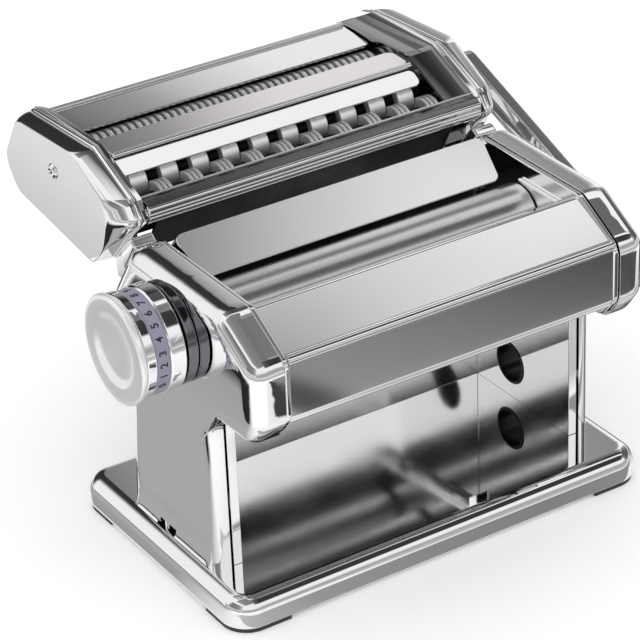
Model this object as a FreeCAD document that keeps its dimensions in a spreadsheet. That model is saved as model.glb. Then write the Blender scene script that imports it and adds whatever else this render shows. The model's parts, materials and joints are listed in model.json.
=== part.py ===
import FreeCAD, Part
import math
import os
import Sketcher

# Hand-cranked dough roller with a lift-off cutter head.
# X runs along the rollers (crank at +X, dial at -X), -Y is the front, Z is up from the table.

V = FreeCAD.Vector
doc = FreeCAD.newDocument("dough_roller")
sheet = doc.addObject("Spreadsheet::Sheet", "Dims")

SIZES = [
    # base tray
    ("base_lip", 8.0, "tray reach beyond a side shell"),
    ("base_dep", 130.0, "tray depth"),
    ("base_top", 15.0, "tray top above the table"),
    ("tray_low", 2.2, "tray rim above the table, the foot thickness"),
    ("base_corner", 12.0, "tray corner radius"),
    ("base_edge", 7.0, "tray top edge radius"),
    ("sheet_thick", 1.2, "sheet metal thickness"),
    ("foot_size", 26.0, "side of a corner foot"),
    # side shells and legs
    ("cap_depth", 14.5, "depth of a side shell cap"),
    ("shell_wall", 2.0, "side shell wall"),
    ("shell_round", 5.0, "side shell edge radius"),
    ("cap_round", 7.5, "edge radius of the cap on a side shell"),
    ("cap_wall", 2.8, "wall of the cap on a side shell"),
    ("leg_set", 0.5, "how far a leg stands behind its cap"),
    ("leg_flange", 6.2, "depth of a leg flange"),
    ("leg_flare", 2.0, "reach of the flare at a leg's foot"),
    ("flare_rise", 8.0, "height of that flare"),
    ("leg_front", 37.5, "leg front edge"),
    ("leg_rear_low", 32.0, "leg rear edge at the foot"),
    ("leg_rear_top", 27.5, "leg rear edge at the shell"),
    ("leg_top", 87.6, "height where a leg enters its shell"),
    ("wall_set", 2.5, "step from frame plate to inner leg plate"),
    ("wall_gap", 1.2, "room between the flanges of leg and inner plate"),
    ("wall_top", 96.0, "top of an inner leg plate"),
    # frame plates and the shell outline
    ("end_gap", 2.5, "room at each end of a smooth roller"),
    ("plate_thick", 2.5, "thickness of a frame plate"),
    ("rim_gap", 0.4, "seam between frame plate and shell rim"),
    ("cap_top", 139.0, "shell top"),
    ("cap_rear_top", 20.5, "rear end of the shell top"),
    ("cap_front_top", 49.0, "front end of the shell top"),
    ("slant_y", 72.5, "foot of the front slant"),
    ("slant_z", 125.5, "height of the foot of the front slant"),
    ("cap_front", 74.5, "shell front"),
    ("front_hi", 121.0, "upper end of the upright front"),
    ("front_lo", 99.0, "lower end of the upright front"),
    ("chin_y", 66.0, "chin corner"),
    ("chin_z", 87.5, "chin height"),
    ("arch_y", 40.0, "arch over the leg flange"),
    ("arch_z", 86.5, "arch height"),
    ("lobe_y", 29.0, "front end of the shell's lower line"),
    ("lobe_z", 71.0, "height of the shell's lower line"),
    ("lobe_rear", 26.0, "rear end of the shell's lower line"),
    ("cap_rear", 38.5, "shell rear corner"),
    ("cap_rear_z", 113.0, "shell rear corner height"),
    # smooth rollers
    ("roller_rad", 13.0, "smooth roller radius"),
    ("roller_half", 75.5, "half length of a smooth roller"),
    ("roller_z", 116.5, "roller axis height"),
    ("rear_axis", 13.0, "rear roller axis, in front of the middle"),
    ("gap_wide", 4.8, "roller gap at the widest dial setting"),
    ("gap_travel", 3.8, "how far the dial can close the gap"),
    ("journal_rad", 5.0, "smooth roller journal radius"),
    ("run_gap", 0.05, "radial running clearance"),
    ("seat_gap", 0.02, "radial clearance of a seated part"),
    ("bush_rad", 6.5, "bearing bush radius"),
    ("slider_half", 6.6, "half side of a sliding bearing block"),
    ("slide_gap", 0.15, "clearance of a sliding block"),
    ("gear_teeth", 14, "teeth of a roller gear"),
    ("gear_tip", 16.0, "roller gear tip radius"),
    ("gear_root", 10.8, "roller gear root radius"),
    ("gear_set", 1.4, "room between frame plate and roller gear"),
    ("gear_thick", 6.6, "thickness of a roller gear"),
    ("socket_rad", 4.1, "crank socket radius"),
    ("socket_set", 0.9, "how far the roller's crank socket stands inside its cap"),
    ("socket_deep", 9.0, "crank socket depth"),
    # dial
    ("dial_rad", 22.4, "dial ring radius"),
    ("dial_face_rad", 23.2, "dial face radius"),
    ("dial_flange_rad", 21.6, "fixed flange radius"),
    ("flange_thick", 5.0, "thickness of the fixed flange"),
    ("dial_gap", 0.7, "room behind the dial"),
    ("dial_rear", 7.3, "width of the ring behind the scale"),
    ("scale_wide", 6.0, "width of the scale ring"),
    ("dial_fore", 5.1, "width of the ring in front of the scale"),
    ("face_thick", 2.8, "thickness of the dial face"),
    ("dish_rad", 15.0, "radius of the dish in the dial face"),
    ("dish_deep", 1.6, "depth of the dish"),
    ("spindle_rad", 5.0, "dial spindle radius"),
    ("sleeve_rad", 6.5, "dial sleeve radius"),
    # apron, hopper and panels
    ("apron_top_y", 48.8, "apron ridge"),
    ("apron_top_z", 137.2, "apron ridge height"),
    ("apron_lip_y", 41.2, "rear lip of the apron"),
    ("apron_lip_z", 133.6, "rear lip height"),
    ("apron_low_y", 70.0, "foot of the apron slant"),
    ("apron_low_z", 126.0, "height of the foot of the apron slant"),
    ("fascia_y", 73.4, "upright fascia"),
    ("fascia_hi", 122.4, "top of the fascia"),
    ("fascia_lo", 100.0, "bottom of the fascia"),
    ("apron_turn_y", 67.0, "rear edge of the turned-under lip"),
    ("apron_turn_z", 93.5, "height of the turned-under lip"),
    ("bead_rad", 2.2, "bead radius"),
    ("apron_thick", 1.6, "apron sheet thickness"),
    ("hopper_set", 1.8, "hopper plate side behind the roller end"),
    ("hopper_taper", 3.4, "how much narrower each side is below"),
    ("hopper_len", 22.1, "hopper plate length down the slope"),
    ("hopper_slope", 33.5, "hopper plate slope in degrees"),
    ("hopper_top_y", 12.2, "top edge of the hopper plate"),
    ("hopper_top_z", 142.8, "height of the hopper plate's top edge"),
    ("panel_y", 30.0, "inside of the rear panel"),
    ("panel_top", 99.0, "top of the rear panel"),
    ("cheek_gap", 0.5, "room between roller end and hopper cheek"),
    ("cheek_top", 130.6, "top of a hopper cheek"),
    ("cheek_low", 120.0, "lower tip of a hopper cheek"),
    ("tie_rad", 3.5, "tie rod radius"),
    ("clamp_y", 5.0, "clamp hole place"),
    ("clamp_z", 32.0, "clamp hole height"),
    ("clamp_rad", 8.75, "clamp hole radius"),
    ("sleeve_wall", 1.2, "clamp sleeve wall"),
    # cutter head
    ("fine_dy", 34.0, "depth step from the wide to the fine cutters"),
    ("fine_drop", 1.0, "how much lower the fine cutters are"),
    ("wide_y", 45.0, "front axis of the wide cutters"),
    ("wide_z", 141.0, "height of that axis"),
    ("pair_dy", 12.24, "depth step between the cutters of a pair"),
    ("pair_dz", 6.37, "height step between the cutters of a pair"),
    ("pair_turn", 27.5, "slope of a pair in degrees"),
    ("cutter_set", 0.5, "cutter end behind the smooth roller end"),
    ("cutter_gap", 2.2, "room at the crank end of a cutter"),
    ("gear_room", 8.5, "extra width of the cutter head at its gears"),
    ("disc_rad", 7.6, "wide cutter disc radius"),
    ("core_rad", 5.85, "wide cutter core radius"),
    ("fine_rad", 6.7, "fine cutter envelope radius"),
    ("wide_pitch", 14.7, "pitch of the wide cutter discs"),
    ("cut_journal", 3.5, "cutter journal radius"),
    ("cut_bush", 5.0, "cutter bush radius"),
    ("cut_teeth", 12, "teeth of a cutter gear"),
    ("cut_tip", 7.55, "cutter gear tip radius"),
    ("cut_root", 5.5, "cutter gear root radius"),
    ("cut_gear_set", 0.9, "room between cutter plate and cutter gear"),
    ("cut_gear_thick", 2.2, "thickness of a cutter gear"),
    ("head_deep", 11.0, "depth of a cutter cap"),
    ("head_ahead", 15.5, "reach of the cutter head before its front axis"),
    ("head_behind", 56.0, "reach of the cutter head behind its drive axis"),
    ("head_drop", 26.5, "reach of the cutter head below its front axis"),
    ("head_rise", 22.0, "reach of the cutter head above its front axis"),
    ("head_wall", 1.4, "cutter cap wall"),
    ("head_round", 4.0, "cutter cap edge radius"),
    ("hub_rad", 6.0, "drive hub radius"),
    ("hub_reach", 2.5, "how far the drive hub stands out of its cap"),
    ("guide_thick", 2.9, "thickness of a guide"),
    ("guide_front", 20.0, "front end of a guide"),
    ("guide_rear", 56.0, "rear end of a guide"),
    ("guide_below", 8.0, "guide under the lower pin"),
    ("guide_above", 18.0, "guide over the lower pin"),
    ("pin_set", 5.0, "guide pins behind the front axis"),
    ("guide_pin", 2.6, "guide pin radius"),
    ("pin_drop", 33.0, "lower guide pin under the front axis"),
    ("pin_step", 11.0, "rise to the upper guide pin"),
    # crank
    ("crank_rad", 4.05, "crank shank radius"),
    ("throw_len", 140.0, "crank throw"),
    ("arm_gap", 9.5, "room between drive hub and crank arm"),
    ("arm_deep", 6.0, "depth of the crank arm"),
    ("arm_half", 6.5, "half width of the crank arm"),
    ("arm_wall", 1.6, "crank arm wall"),
    ("arm_turn", 201.2, "direction of the crank arm in degrees"),
    ("grip_rad", 11.0, "crank grip radius"),
    ("grip_gap", 2.0, "room between crank arm and grip"),
    ("grip_len", 64.0, "grip length"),
    ("grip_pin", 3.5, "grip pin radius"),
]
for row, (alias, value, note) in enumerate(SIZES, 1):
    sheet.set("A%d" % row, note)
    sheet.set("B%d" % row, str(value))
    sheet.setAlias("B%d" % row, alias)
doc.recompute()


class Dim:
    """A size and the sheet expression it comes from."""

    def __init__(self, text, value):
        self.text = text
        self.value = value

    def join(self, sign, other, value):
        return Dim("(%s %s %s)" % (self.text, sign, dim(other).text), value)

    def __add__(self, other):
        return self.join("+", other, self.value + dim(other).value)

    def __sub__(self, other):
        return self.join("-", other, self.value - dim(other).value)

    def __mul__(self, other):
        return self.join("*", other, self.value * dim(other).value)

    def __truediv__(self, other):
        return self.join("/", other, self.value / dim(other).value)

    def __radd__(self, other):
        return dim(other) + self

    def __rsub__(self, other):
        return dim(other) - self

    def __neg__(self):
        return Dim("(0 - %s)" % self.text, -self.value)


def dim(size):
    return size if isinstance(size, Dim) else Dim("%.5f" % size, float(size))


class Sizes:
    """Every cell of the sheet by its alias."""


D = Sizes()
for alias, value, note in SIZES:
    setattr(D, alias, Dim("Dims.%s" % alias, float(sheet.get(alias))))

# Places along X, built up from the smooth roller outwards.

D.frame_in = D.roller_half + D.end_gap
D.frame_out = D.frame_in + D.plate_thick
D.shell_out = D.frame_out + D.cap_depth
D.leg_out = D.shell_out - D.leg_set
D.leg_in = D.leg_out - D.leg_flange
D.wall_in = D.frame_out + D.wall_set
D.wall_flange = D.leg_in - D.wall_gap
D.base_len = (D.shell_out + D.base_lip) * 2
D.gear_near = D.frame_out + D.gear_set
D.gear_far = D.gear_near + D.gear_thick
D.socket_end = D.shell_out - D.socket_set
D.dial_flange_end = D.shell_out + D.flange_thick
D.dial_back = D.dial_flange_end + D.dial_gap
D.scale_near = D.dial_back + D.dial_rear
D.scale_far = D.scale_near + D.scale_wide
D.dial_lip = D.scale_far + D.dial_fore
D.dial_face_end = D.dial_lip + D.face_thick
D.hopper_half = D.roller_half - D.hopper_set
D.cheek_in = D.roller_half + D.cheek_gap
D.guide_in = D.frame_in - D.guide_thick
D.cutter_left = D.roller_half - D.cutter_set
D.head_in = D.frame_in + D.gear_room
D.head_out = D.head_in + D.plate_thick
D.cutter_right = D.head_in - D.cutter_gap
D.cut_gear_near = D.head_out + D.cut_gear_set
D.cut_gear_far = D.cut_gear_near + D.cut_gear_thick
D.left_face = D.frame_out + D.head_deep
D.right_face = D.head_out + D.head_deep
D.hub_end = D.right_face + D.hub_reach
D.arm_near = D.hub_end + D.arm_gap
D.arm_far = D.arm_near + D.arm_deep
D.grip_near = D.arm_far + D.grip_gap
D.grip_far = D.grip_near + D.grip_len

# Places of the cutter head in the side view, from the front axis of its wide cutters.

D.fine_y = D.wide_y + D.fine_dy
D.fine_z = D.wide_z - D.fine_drop
D.head_front = D.wide_y - D.head_ahead
D.head_rear = D.fine_y + D.head_behind
D.head_low = D.wide_z - D.head_drop
D.head_top = D.wide_z + D.head_rise
D.guide_slot_y = D.wide_y + D.pin_set
D.pin_low = D.wide_z - D.pin_drop
D.guide_low = D.pin_low - D.guide_below
D.guide_top = D.pin_low + D.guide_above

nodes = []


def node(obj, label):
    obj.Label = label
    nodes.append(obj)
    return obj


def bind(obj, prop, size):
    obj.setExpression(prop, dim(size).text)


def move(obj, x=0, y=0, z=0):
    bind(obj, "Placement.Base.x", x)
    bind(obj, "Placement.Base.y", y)
    bind(obj, "Placement.Base.z", z)
    return obj


def turned_to(obj, angle):
    """Turns an object about the X axis."""
    size = dim(angle)
    if abs(size.value) > 1e-6:
        obj.Placement = FreeCAD.Placement(V(0, 0, 0), FreeCAD.Rotation(V(1, 0, 0), size.value))
        bind(obj, "Placement.Rotation.Angle", size)
    return obj


def box(name, x0, x1, y0, y1, z0, z1):
    obj = doc.addObject("Part::Box", name)
    bind(obj, "Length", dim(x1) - x0)
    bind(obj, "Width", dim(y1) - y0)
    bind(obj, "Height", dim(z1) - z0)
    return move(obj, x0, y0, z0)


def rod(name, radius, x0, x1, y, z):
    """A cylinder along X."""
    obj = doc.addObject("Part::Cylinder", name)
    bind(obj, "Radius", radius)
    bind(obj, "Height", dim(x1) - x0)
    obj.Placement = FreeCAD.Placement(V(0, 0, 0), FreeCAD.Rotation(V(0, 1, 0), 90))
    return move(obj, x0, y, z)


def fuse(name, shapes):
    obj = doc.addObject("Part::MultiFuse", name)
    obj.Shapes = shapes
    return obj


def cut(name, base, tools):
    tool = tools[0] if len(tools) == 1 else fuse(name + "_tools", tools)
    obj = doc.addObject("Part::Cut", name)
    obj.Base = base
    obj.Tool = tool
    return obj


def group(name, shapes):
    obj = doc.addObject("Part::Compound", name)
    obj.Links = shapes
    return obj


def mirror(name, source):
    obj = doc.addObject("Part::Mirroring", name)
    obj.Source = source
    obj.Base = V(0, 0, 0)
    obj.Normal = V(1, 0, 0)
    return obj


def new_body(name):
    return doc.addObject("PartDesign::Body", name)


def outline(body, points, level, role="YZ_Plane"):
    """A closed sketch through the points on a plane parallel to one of the body's own."""
    plane = [f for f in body.Origin.OriginFeatures if f.Role == role][0]
    sketch = body.newObject("Sketcher::SketchObject", body.Name + "_sketch")
    sketch.AttachmentSupport = [(plane, "")]
    sketch.MapMode = "FlatFace"
    bind(sketch, "AttachmentOffset.Base.z", level)
    spots = [V(dim(a).value, dim(b).value, 0) for a, b in points]
    count = len(points)
    for i in range(count):
        sketch.addGeometry(Part.LineSegment(spots[i], spots[(i + 1) % count]), False)
    for i in range(count):
        sketch.addConstraint(Sketcher.Constraint("Coincident", i, 2, (i + 1) % count, 1))
    for i, point in enumerate(points):
        for kind, axis, size in (("DistanceX", -2, point[0]), ("DistanceY", -1, point[1])):
            size = dim(size)
            if abs(size.value) < 1e-6:
                sketch.addConstraint(Sketcher.Constraint("PointOnObject", i, 1, axis))
                continue
            k = sketch.addConstraint(Sketcher.Constraint(kind, -1, 1, i, 1, size.value))
            sketch.setExpression("Constraints[%d]" % k, size.text)
    return sketch


def pad(body, sketch, length):
    feature = body.newObject("PartDesign::Pad", body.Name + "_pad")
    feature.Profile = sketch
    bind(feature, "Length", length)
    return feature


def pocket(body, sketch, length):
    feature = body.newObject("PartDesign::Pocket", body.Name + "_pocket")
    feature.Profile = sketch
    bind(feature, "Length", length)
    return feature


def loft(body, kind, first, second):
    feature = body.newObject("PartDesign::" + kind, body.Name + "_loft")
    feature.Profile = first
    feature.Sections = [second]
    feature.Ruled = True
    return feature


def prism(name, points, x0, x1):
    """A body with a Y-Z outline, padded along X."""
    body = new_body(name)
    pad(body, outline(body, points, x0), dim(x1) - x0)
    return body


def plate(name, points, z0, z1):
    """A body with an X-Y outline, padded upwards."""
    body = new_body(name)
    pad(body, outline(body, points, z0, "XY_Plane"), dim(z1) - z0)
    return body


def fillet(body, radius, pick):
    doc.recompute()
    base = body.Tip
    names = ["Edge%d" % (i + 1) for i, edge in enumerate(base.Shape.Edges) if pick(edge)]
    feature = body.newObject("PartDesign::Fillet", body.Name + "_fillet")
    feature.Base = (base, names)
    bind(feature, "Radius", radius)
    return feature


def ends(edge):
    return edge.Vertexes[0].Point, edge.Vertexes[-1].Point


def along(edge, axis):
    a, b = ends(edge)
    return all(abs(a[k] - b[k]) < 1e-4 for k in range(3) if k != axis) and abs(a[axis] - b[axis]) > 1


def flat_at(edge, axis, size):
    return all(abs(v.Point[axis] - dim(size).value) < 1e-4 for v in edge.Vertexes)


def near(edge, spots, reach=1.0):
    """True when both ends lie over one of the Y-Z spots."""
    for y, z in spots:
        if all(math.hypot(v.Point.y - y, v.Point.z - z) < reach for v in edge.Vertexes):
            return True
    return False


def shift(a, b):
    """Unit normal to the left of the way from a to b."""
    dx, dy = b[0] - a[0], b[1] - a[1]
    size = math.hypot(dx, dy)
    return -dy / size, dx / size


def offset(points, size, closed):
    """The points moved to the left of the path by a size, corners mitred."""
    spots = [(dim(a).value, dim(b).value) for a, b in points]
    count = len(spots)
    moved = []
    for i in range(count):
        before = shift(spots[i - 1], spots[i]) if closed or i > 0 else None
        after = shift(spots[i], spots[(i + 1) % count]) if closed or i < count - 1 else None
        before = before or after
        after = after or before
        scale = 1.0 + before[0] * after[0] + before[1] * after[1]
        kx = (before[0] + after[0]) / scale
        ky = (before[1] + after[1]) / scale
        moved.append((points[i][0] + dim(size) * kx, points[i][1] + dim(size) * ky))
    return moved


def strip(path, thick):
    """A bent sheet: the path and its copy moved to the left by the thickness."""
    return list(path) + offset(path, thick, False)[::-1]


# Base tray, hollow underneath, on four corner feet.

def base_block(name, inset, z0, z1, corner):
    x = D.base_len / 2 - inset
    y = D.base_dep / 2 - inset
    body = plate(name, [(-x, -y), (x, -y), (x, y), (-x, y)], z0, z1)
    fillet(body, corner, lambda e: along(e, 2))
    return body


tray_outer = base_block("tray_outer", 0, D.tray_low, D.base_top, D.base_corner)
fillet(tray_outer, D.base_edge, lambda e: flat_at(e, 2, D.base_top))
tray_inner = base_block("tray_inner", D.sheet_thick * 1.5, D.tray_low - 1, D.base_top - D.sheet_thick * 1.5,
                        D.base_corner - D.sheet_thick)
fillet(tray_inner, D.base_edge - D.sheet_thick * 1.5,
       lambda e: flat_at(e, 2, D.base_top - D.sheet_thick * 1.5))
node(cut("tray", tray_outer, [tray_inner]), "base_tray")

foot_block = base_block("foot_block", 0.4, 0, D.tray_low, D.base_corner)
corners = []
for sx in (-1, 1):
    for sy in (-1, 1):
        x = D.base_len / 2 * sx
        y = D.base_dep / 2 * sy
        x0, x1 = (x, x + D.foot_size) if sx < 0 else (x - D.foot_size, x)
        y0, y1 = (y, y + D.foot_size) if sy < 0 else (y - D.foot_size, y)
        corners.append(box("foot_corner", x0, x1, y0, y1, -1, D.tray_low + 1))
feet = doc.addObject("Part::Common", "feet")
feet.Base = foot_block
feet.Tool = group("foot_corners", corners)
node(feet, "base_feet")

# Side shells: a pressed cap with rounded edges above, a channel leg below.

cap_points = [
    (D.cap_rear_top, D.cap_top), (-D.cap_front_top, D.cap_top), (-D.slant_y, D.slant_z),
    (-D.cap_front, D.front_hi), (-D.cap_front, D.front_lo), (-D.chin_y, D.chin_z),
    (-D.arch_y, D.arch_z), (-D.lobe_y, D.lobe_z), (D.lobe_rear, D.lobe_z), (D.cap_rear, D.cap_rear_z),
]
cap = prism("side_cap", cap_points, -D.shell_out, -(D.frame_out + D.rim_gap))
soft = [(dim(a).value, dim(b).value) for a, b in cap_points]
fillet(cap, D.cap_round + 1, lambda e: along(e, 0) and near(e, [soft[0], soft[1], soft[4], soft[5],
    soft[9]]))
fillet(cap, D.cap_round, lambda e: flat_at(e, 0, -D.shell_out) and
       not all(v.Point.z < D.arch_z.value - 0.5 for v in e.Vertexes) and
       not near(e, [soft[6], soft[7]], 19.1))
pocket(cap, outline(cap, offset(cap_points, D.cap_wall, True), -(D.frame_out + D.rim_gap)),
       D.shell_out - D.cap_wall - D.frame_out - D.rim_gap)


leg_bend = D.base_top + 8
leg_knee = D.lobe_z - 9
leg = prism("leg", [
    (-D.leg_front, D.base_top), (D.leg_rear_low, D.base_top), (D.leg_rear_low, leg_bend), (D.leg_rear_top,
        leg_knee),
    (D.leg_rear_top, D.leg_top), (-D.leg_front, D.leg_top)], -D.leg_out, -D.leg_in)
fillet(leg, D.shell_round, lambda e: flat_at(e, 0, -D.leg_out) and
       abs(ends(e)[0].z - ends(e)[1].z) > 5)
front_in = -D.leg_front + D.shell_wall
low_in = D.leg_rear_low - D.shell_wall
top_in = D.leg_rear_top - D.shell_wall
pocket(leg, outline(leg, [
    (front_in, D.base_top - 1), (low_in, D.base_top - 1), (low_in, leg_bend), (top_in, leg_knee),
    (top_in, D.leg_top + 1), (front_in, D.leg_top + 1)], -D.leg_in), D.leg_out - D.leg_in - D.shell_wall)
leg_slot = box("leg_slot", -D.leg_out - D.leg_flare - 1, -D.leg_in - 1, -5, 9, D.base_top - 1,
    D.base_top + 3)
leg_room = box("leg_room", -D.leg_in + 0.5, -D.frame_out, -D.leg_front - 0.5, D.leg_rear_low + 2,
               D.lobe_z - 3, D.arch_z + 1.3)
flare = new_body("leg_foot")
flare_top = D.base_top + D.flare_rise
pad(flare, outline(flare, [
    (-D.leg_out + D.shell_wall / 2, D.base_top), (-D.leg_out + D.shell_wall / 2, flare_top), (-D.leg_out,
        flare_top),
    (-D.leg_out - D.leg_flare * 0.18, D.base_top + D.flare_rise * 0.5),
    (-D.leg_out - D.leg_flare * 0.5, D.base_top + D.flare_rise * 0.16),
    (-D.leg_out - D.leg_flare, D.base_top)], D.shell_round - D.leg_rear_low, "XZ_Plane"),
    D.leg_front + D.leg_rear_low - D.shell_round * 2)
shell = fuse("side_shell", [cut("open_cap", cap, [leg_room]), cut("slotted_leg",
    fuse("footed_leg", [leg, flare]), [leg_slot])])
front_axis = -(D.rear_axis + D.roller_rad * 2 + D.gap_wide)
dial_hole = rod("dial_hole", D.sleeve_rad + 1, -D.shell_out - 5, -D.frame_out, -D.rear_axis, D.roller_z)
node(cut("left_shell", shell, [dial_hole]), "left_side_shell")
socket_hole = rod("socket_hole", D.journal_rad + 2, D.frame_out, D.shell_out + 5, front_axis, D.roller_z)
clamp_hole_out = rod("clamp_hole_out", D.clamp_rad + D.sleeve_wall + D.seat_gap, D.leg_in, D.leg_out + 5,
                     D.clamp_y, D.clamp_z)
node(cut("right_shell", mirror("right_shell_blank", shell), [socket_hole, clamp_hole_out]),
    "right_side_shell")

# Inner leg plates: channels that face the shells, with a shelf under the frame plate.

wall = new_body("leg_wall")
wall_front, wall_rear = D.leg_front, D.panel_y + D.sheet_thick * 2
pad(wall, outline(wall, [
    (-D.wall_in, -wall_front), (-D.wall_in, wall_rear), (-D.wall_flange, wall_rear),
    (-D.wall_flange, wall_rear - D.sheet_thick), (-D.wall_in - D.sheet_thick, wall_rear - D.sheet_thick),
    (-D.wall_in - D.sheet_thick, -wall_front + D.sheet_thick), (-D.wall_flange,
        -wall_front + D.sheet_thick),
    (-D.wall_flange, -wall_front)], D.base_top, "XY_Plane"), D.arch_z - D.base_top - 0.3)
shelf = box("wall_shelf", -D.wall_in - D.sheet_thick, -D.frame_out, -D.lobe_y, D.lobe_rear,
            D.arch_z - 2, D.arch_z - 0.8)
tab = box("wall_tab", -D.frame_out - D.sheet_thick, -D.frame_out, -D.lobe_y, D.lobe_rear, D.arch_z - 2,
    D.wall_top)
left_wall = fuse("left_wall", [wall, shelf, tab])
node(left_wall, "left_leg_plate")
clamp_hole_in = rod("clamp_hole_in", D.clamp_rad + D.sleeve_wall + D.seat_gap, D.frame_out, D.leg_in,
                    D.clamp_y, D.clamp_z)
node(cut("right_wall", mirror("right_wall_blank", left_wall), [clamp_hole_in]), "right_leg_plate")
sleeve_out = rod("sleeve_out", D.clamp_rad + D.sleeve_wall, D.wall_in - 0.4, D.leg_out + 0.4, D.clamp_y,
    D.clamp_z)
sleeve_in = rod("sleeve_in", D.clamp_rad, D.wall_in - 2, D.leg_out + 2, D.clamp_y, D.clamp_z)
node(cut("clamp_tube", sleeve_out, [sleeve_in]), "clamp_sleeve")

# Frame plates that carry the rollers.

frame_points = offset([
    (D.cap_rear_top, D.cap_top), (-D.cap_front_top, D.cap_top), (-D.slant_y, D.slant_z),
    (-D.cap_front, D.front_hi), (-D.cap_front, D.front_lo), (-D.chin_y, D.chin_z + 1),
    (D.lobe_rear + 5, D.chin_z + 1), (D.cap_rear, D.cap_rear_z)], 0.5, True)


def frame_plate(side):
    x0, x1 = (-D.frame_out, -D.frame_in) if side < 0 else (D.frame_in, D.frame_out)
    body = prism("frame_plate", frame_points, x0, x1)
    fillet(body, D.cap_round, lambda e: along(e, 0) and near(e, [soft[0], soft[1], soft[4], soft[5],
        soft[9]], 3))
    bore = rod("front_bore", D.bush_rad + D.seat_gap, x0 - 1, x1 + 1, front_axis, D.roller_z)
    reach = D.slider_half + D.slide_gap
    slot = box("rear_slot", x0 - 1, x1 + 1, -D.rear_axis - reach - D.gap_travel, -D.rear_axis + reach,
               D.roller_z - reach, D.roller_z + reach)
    return cut("bored_plate", body, [bore, slot])


node(frame_plate(-1), "left_frame_plate")
node(frame_plate(1), "right_frame_plate")


def bushes(radius, bore, y, z, left, right, lip):
    """A flanged bush through each of two plates whose inner faces are given."""
    made = []
    for side, inner in ((-1, left), (1, right)):
        far = dim(inner) + (D.plate_thick + 0.6) * side
        a, b = (far, inner) if side < 0 else (inner, far)
        lip_a, lip_b = (a - 1.0, a) if side > 0 else (b, b + 1.0)
        blank = fuse("bush_blank", [rod("bush_body", radius, a, b, y, z), rod("bush_lip", lip, lip_a,
            lip_b, y, z)])
        made.append(cut("bush", blank, [rod("bush_bore", bore, a - 3, b + 3, y, z)]))
    return made


node(group("front_bush_pair", bushes(D.bush_rad, D.journal_rad + D.run_gap, front_axis, D.roller_z,
                              -D.frame_in, D.frame_in, D.bush_rad + 1)), "front_bushes")
blocks = []
for side in (-1, 1):
    a, b = (D.frame_in + 0.3, D.frame_out + 0.4) if side > 0 else (-D.frame_out - 0.4, -D.frame_in - 0.3)
    blank = box("slider_blank", a, b, -D.rear_axis - D.slider_half, -D.rear_axis + D.slider_half,
                D.roller_z - D.slider_half, D.roller_z + D.slider_half)
    hole = rod("slider_bore", D.journal_rad + D.run_gap, a - 1, b + 1, -D.rear_axis, D.roller_z)
    blocks.append(cut("slider", blank, [hole]))
node(group("slider_pair", blocks), "rear_sliders")

# Smooth rollers and their gears.

front_solid = fuse("front_solid", [
    rod("front_barrel", D.roller_rad, -D.roller_half, D.roller_half, front_axis, D.roller_z),
    rod("front_shaft", D.journal_rad, -D.frame_out - 1.4, D.socket_end, front_axis, D.roller_z),
    rod("front_hub", D.journal_rad + 1.4, D.gear_far + 0.3, D.socket_end, front_axis, D.roller_z)])
front_socket = rod("front_socket", D.socket_rad, D.socket_end - D.socket_deep, D.socket_end + 1,
    front_axis, D.roller_z)
node(cut("front_roll", front_solid, [front_socket]), "front_roller")
node(fuse("rear_roll", [
    rod("rear_barrel", D.roller_rad, -D.roller_half, D.roller_half, -D.rear_axis, D.roller_z),
    rod("rear_shaft", D.journal_rad, -D.frame_out - 1.4, D.gear_far + 0.6, -D.rear_axis,
        D.roller_z)]), "rear_roller")


def gear(label, teeth, tip, root, bore, x0, x1, y, z, turn, root_width, tip_width):
    """A spur gear modelled about its own axis and then put in place."""
    body = new_body(label + "_gear")
    count = int(dim(teeth).value)
    ring = [(root * math.cos(math.radians(360.0 * i / (2 * count))),
             root * math.sin(math.radians(360.0 * i / (2 * count)))) for i in range(2 * count)]
    pad(body, outline(body, ring, 0), dim(x1) - x0)
    inner = root - 0.6
    tooth = outline(body, [(inner, -dim(root_width) / 2), (root, -dim(root_width) / 2),
        (tip, -dim(tip_width) / 2),
                           (tip, dim(tip_width) / 2), (root, dim(root_width) / 2), (inner,
                               dim(root_width) / 2)], 0)
    one = pad(body, tooth, dim(x1) - x0)
    pattern = body.newObject("PartDesign::PolarPattern", body.Name + "_teeth")
    pattern.Originals = [one]
    pattern.Axis = (tooth, ["N_Axis"])
    pattern.Angle = 360
    bind(pattern, "Occurrences", teeth)
    body.Tip = pattern
    turned_to(body, turn)
    move(body, x0, y, z)
    hole = rod(label + "_bore", dim(bore) + D.seat_gap, dim(x0) - 1, dim(x1) + 1, y, z)
    return node(cut(label + "_cut", body, [hole]), label)


half_tooth = dim(180) / D.gear_teeth
gear("front_roller_gear", D.gear_teeth, D.gear_tip, D.gear_root, D.journal_rad, D.gear_near, D.gear_far,
     front_axis, D.roller_z, 0, 3.0, 1.1)
gear("rear_roller_gear", D.gear_teeth, D.gear_tip, D.gear_root, D.journal_rad, D.gear_near, D.gear_far,
     -D.rear_axis, D.roller_z, half_tooth, 3.0, 1.1)

# Front apron with a folded ridge, a bead and a turned-under lip.

apron_path = [
    (-D.apron_lip_y, D.apron_lip_z), (-D.apron_top_y, D.apron_top_z), (-D.apron_low_y, D.apron_low_z),
    (-D.fascia_y, D.fascia_hi), (-D.fascia_y, D.fascia_lo), (-D.fascia_y + 2.2, D.fascia_lo - 4.2),
    (-D.apron_turn_y, D.apron_turn_z)]
apron = prism("apron_sheet", strip(apron_path, D.apron_thick), -D.frame_in, D.frame_in)
ridge = [(-D.apron_top_y.value, D.apron_top_z.value)]
fillet(apron, D.apron_thick * 1.6, lambda e: along(e, 0) and near(e, ridge, 0.1))
bead = rod("apron_bead", D.bead_rad, -D.frame_in, D.frame_in, -D.fascia_y + 1.9, D.fascia_hi + 1.7)
node(fuse("front_sheet", [apron, bead]), "front_apron")

# Hopper plate, rear cover and rear panel.

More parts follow.
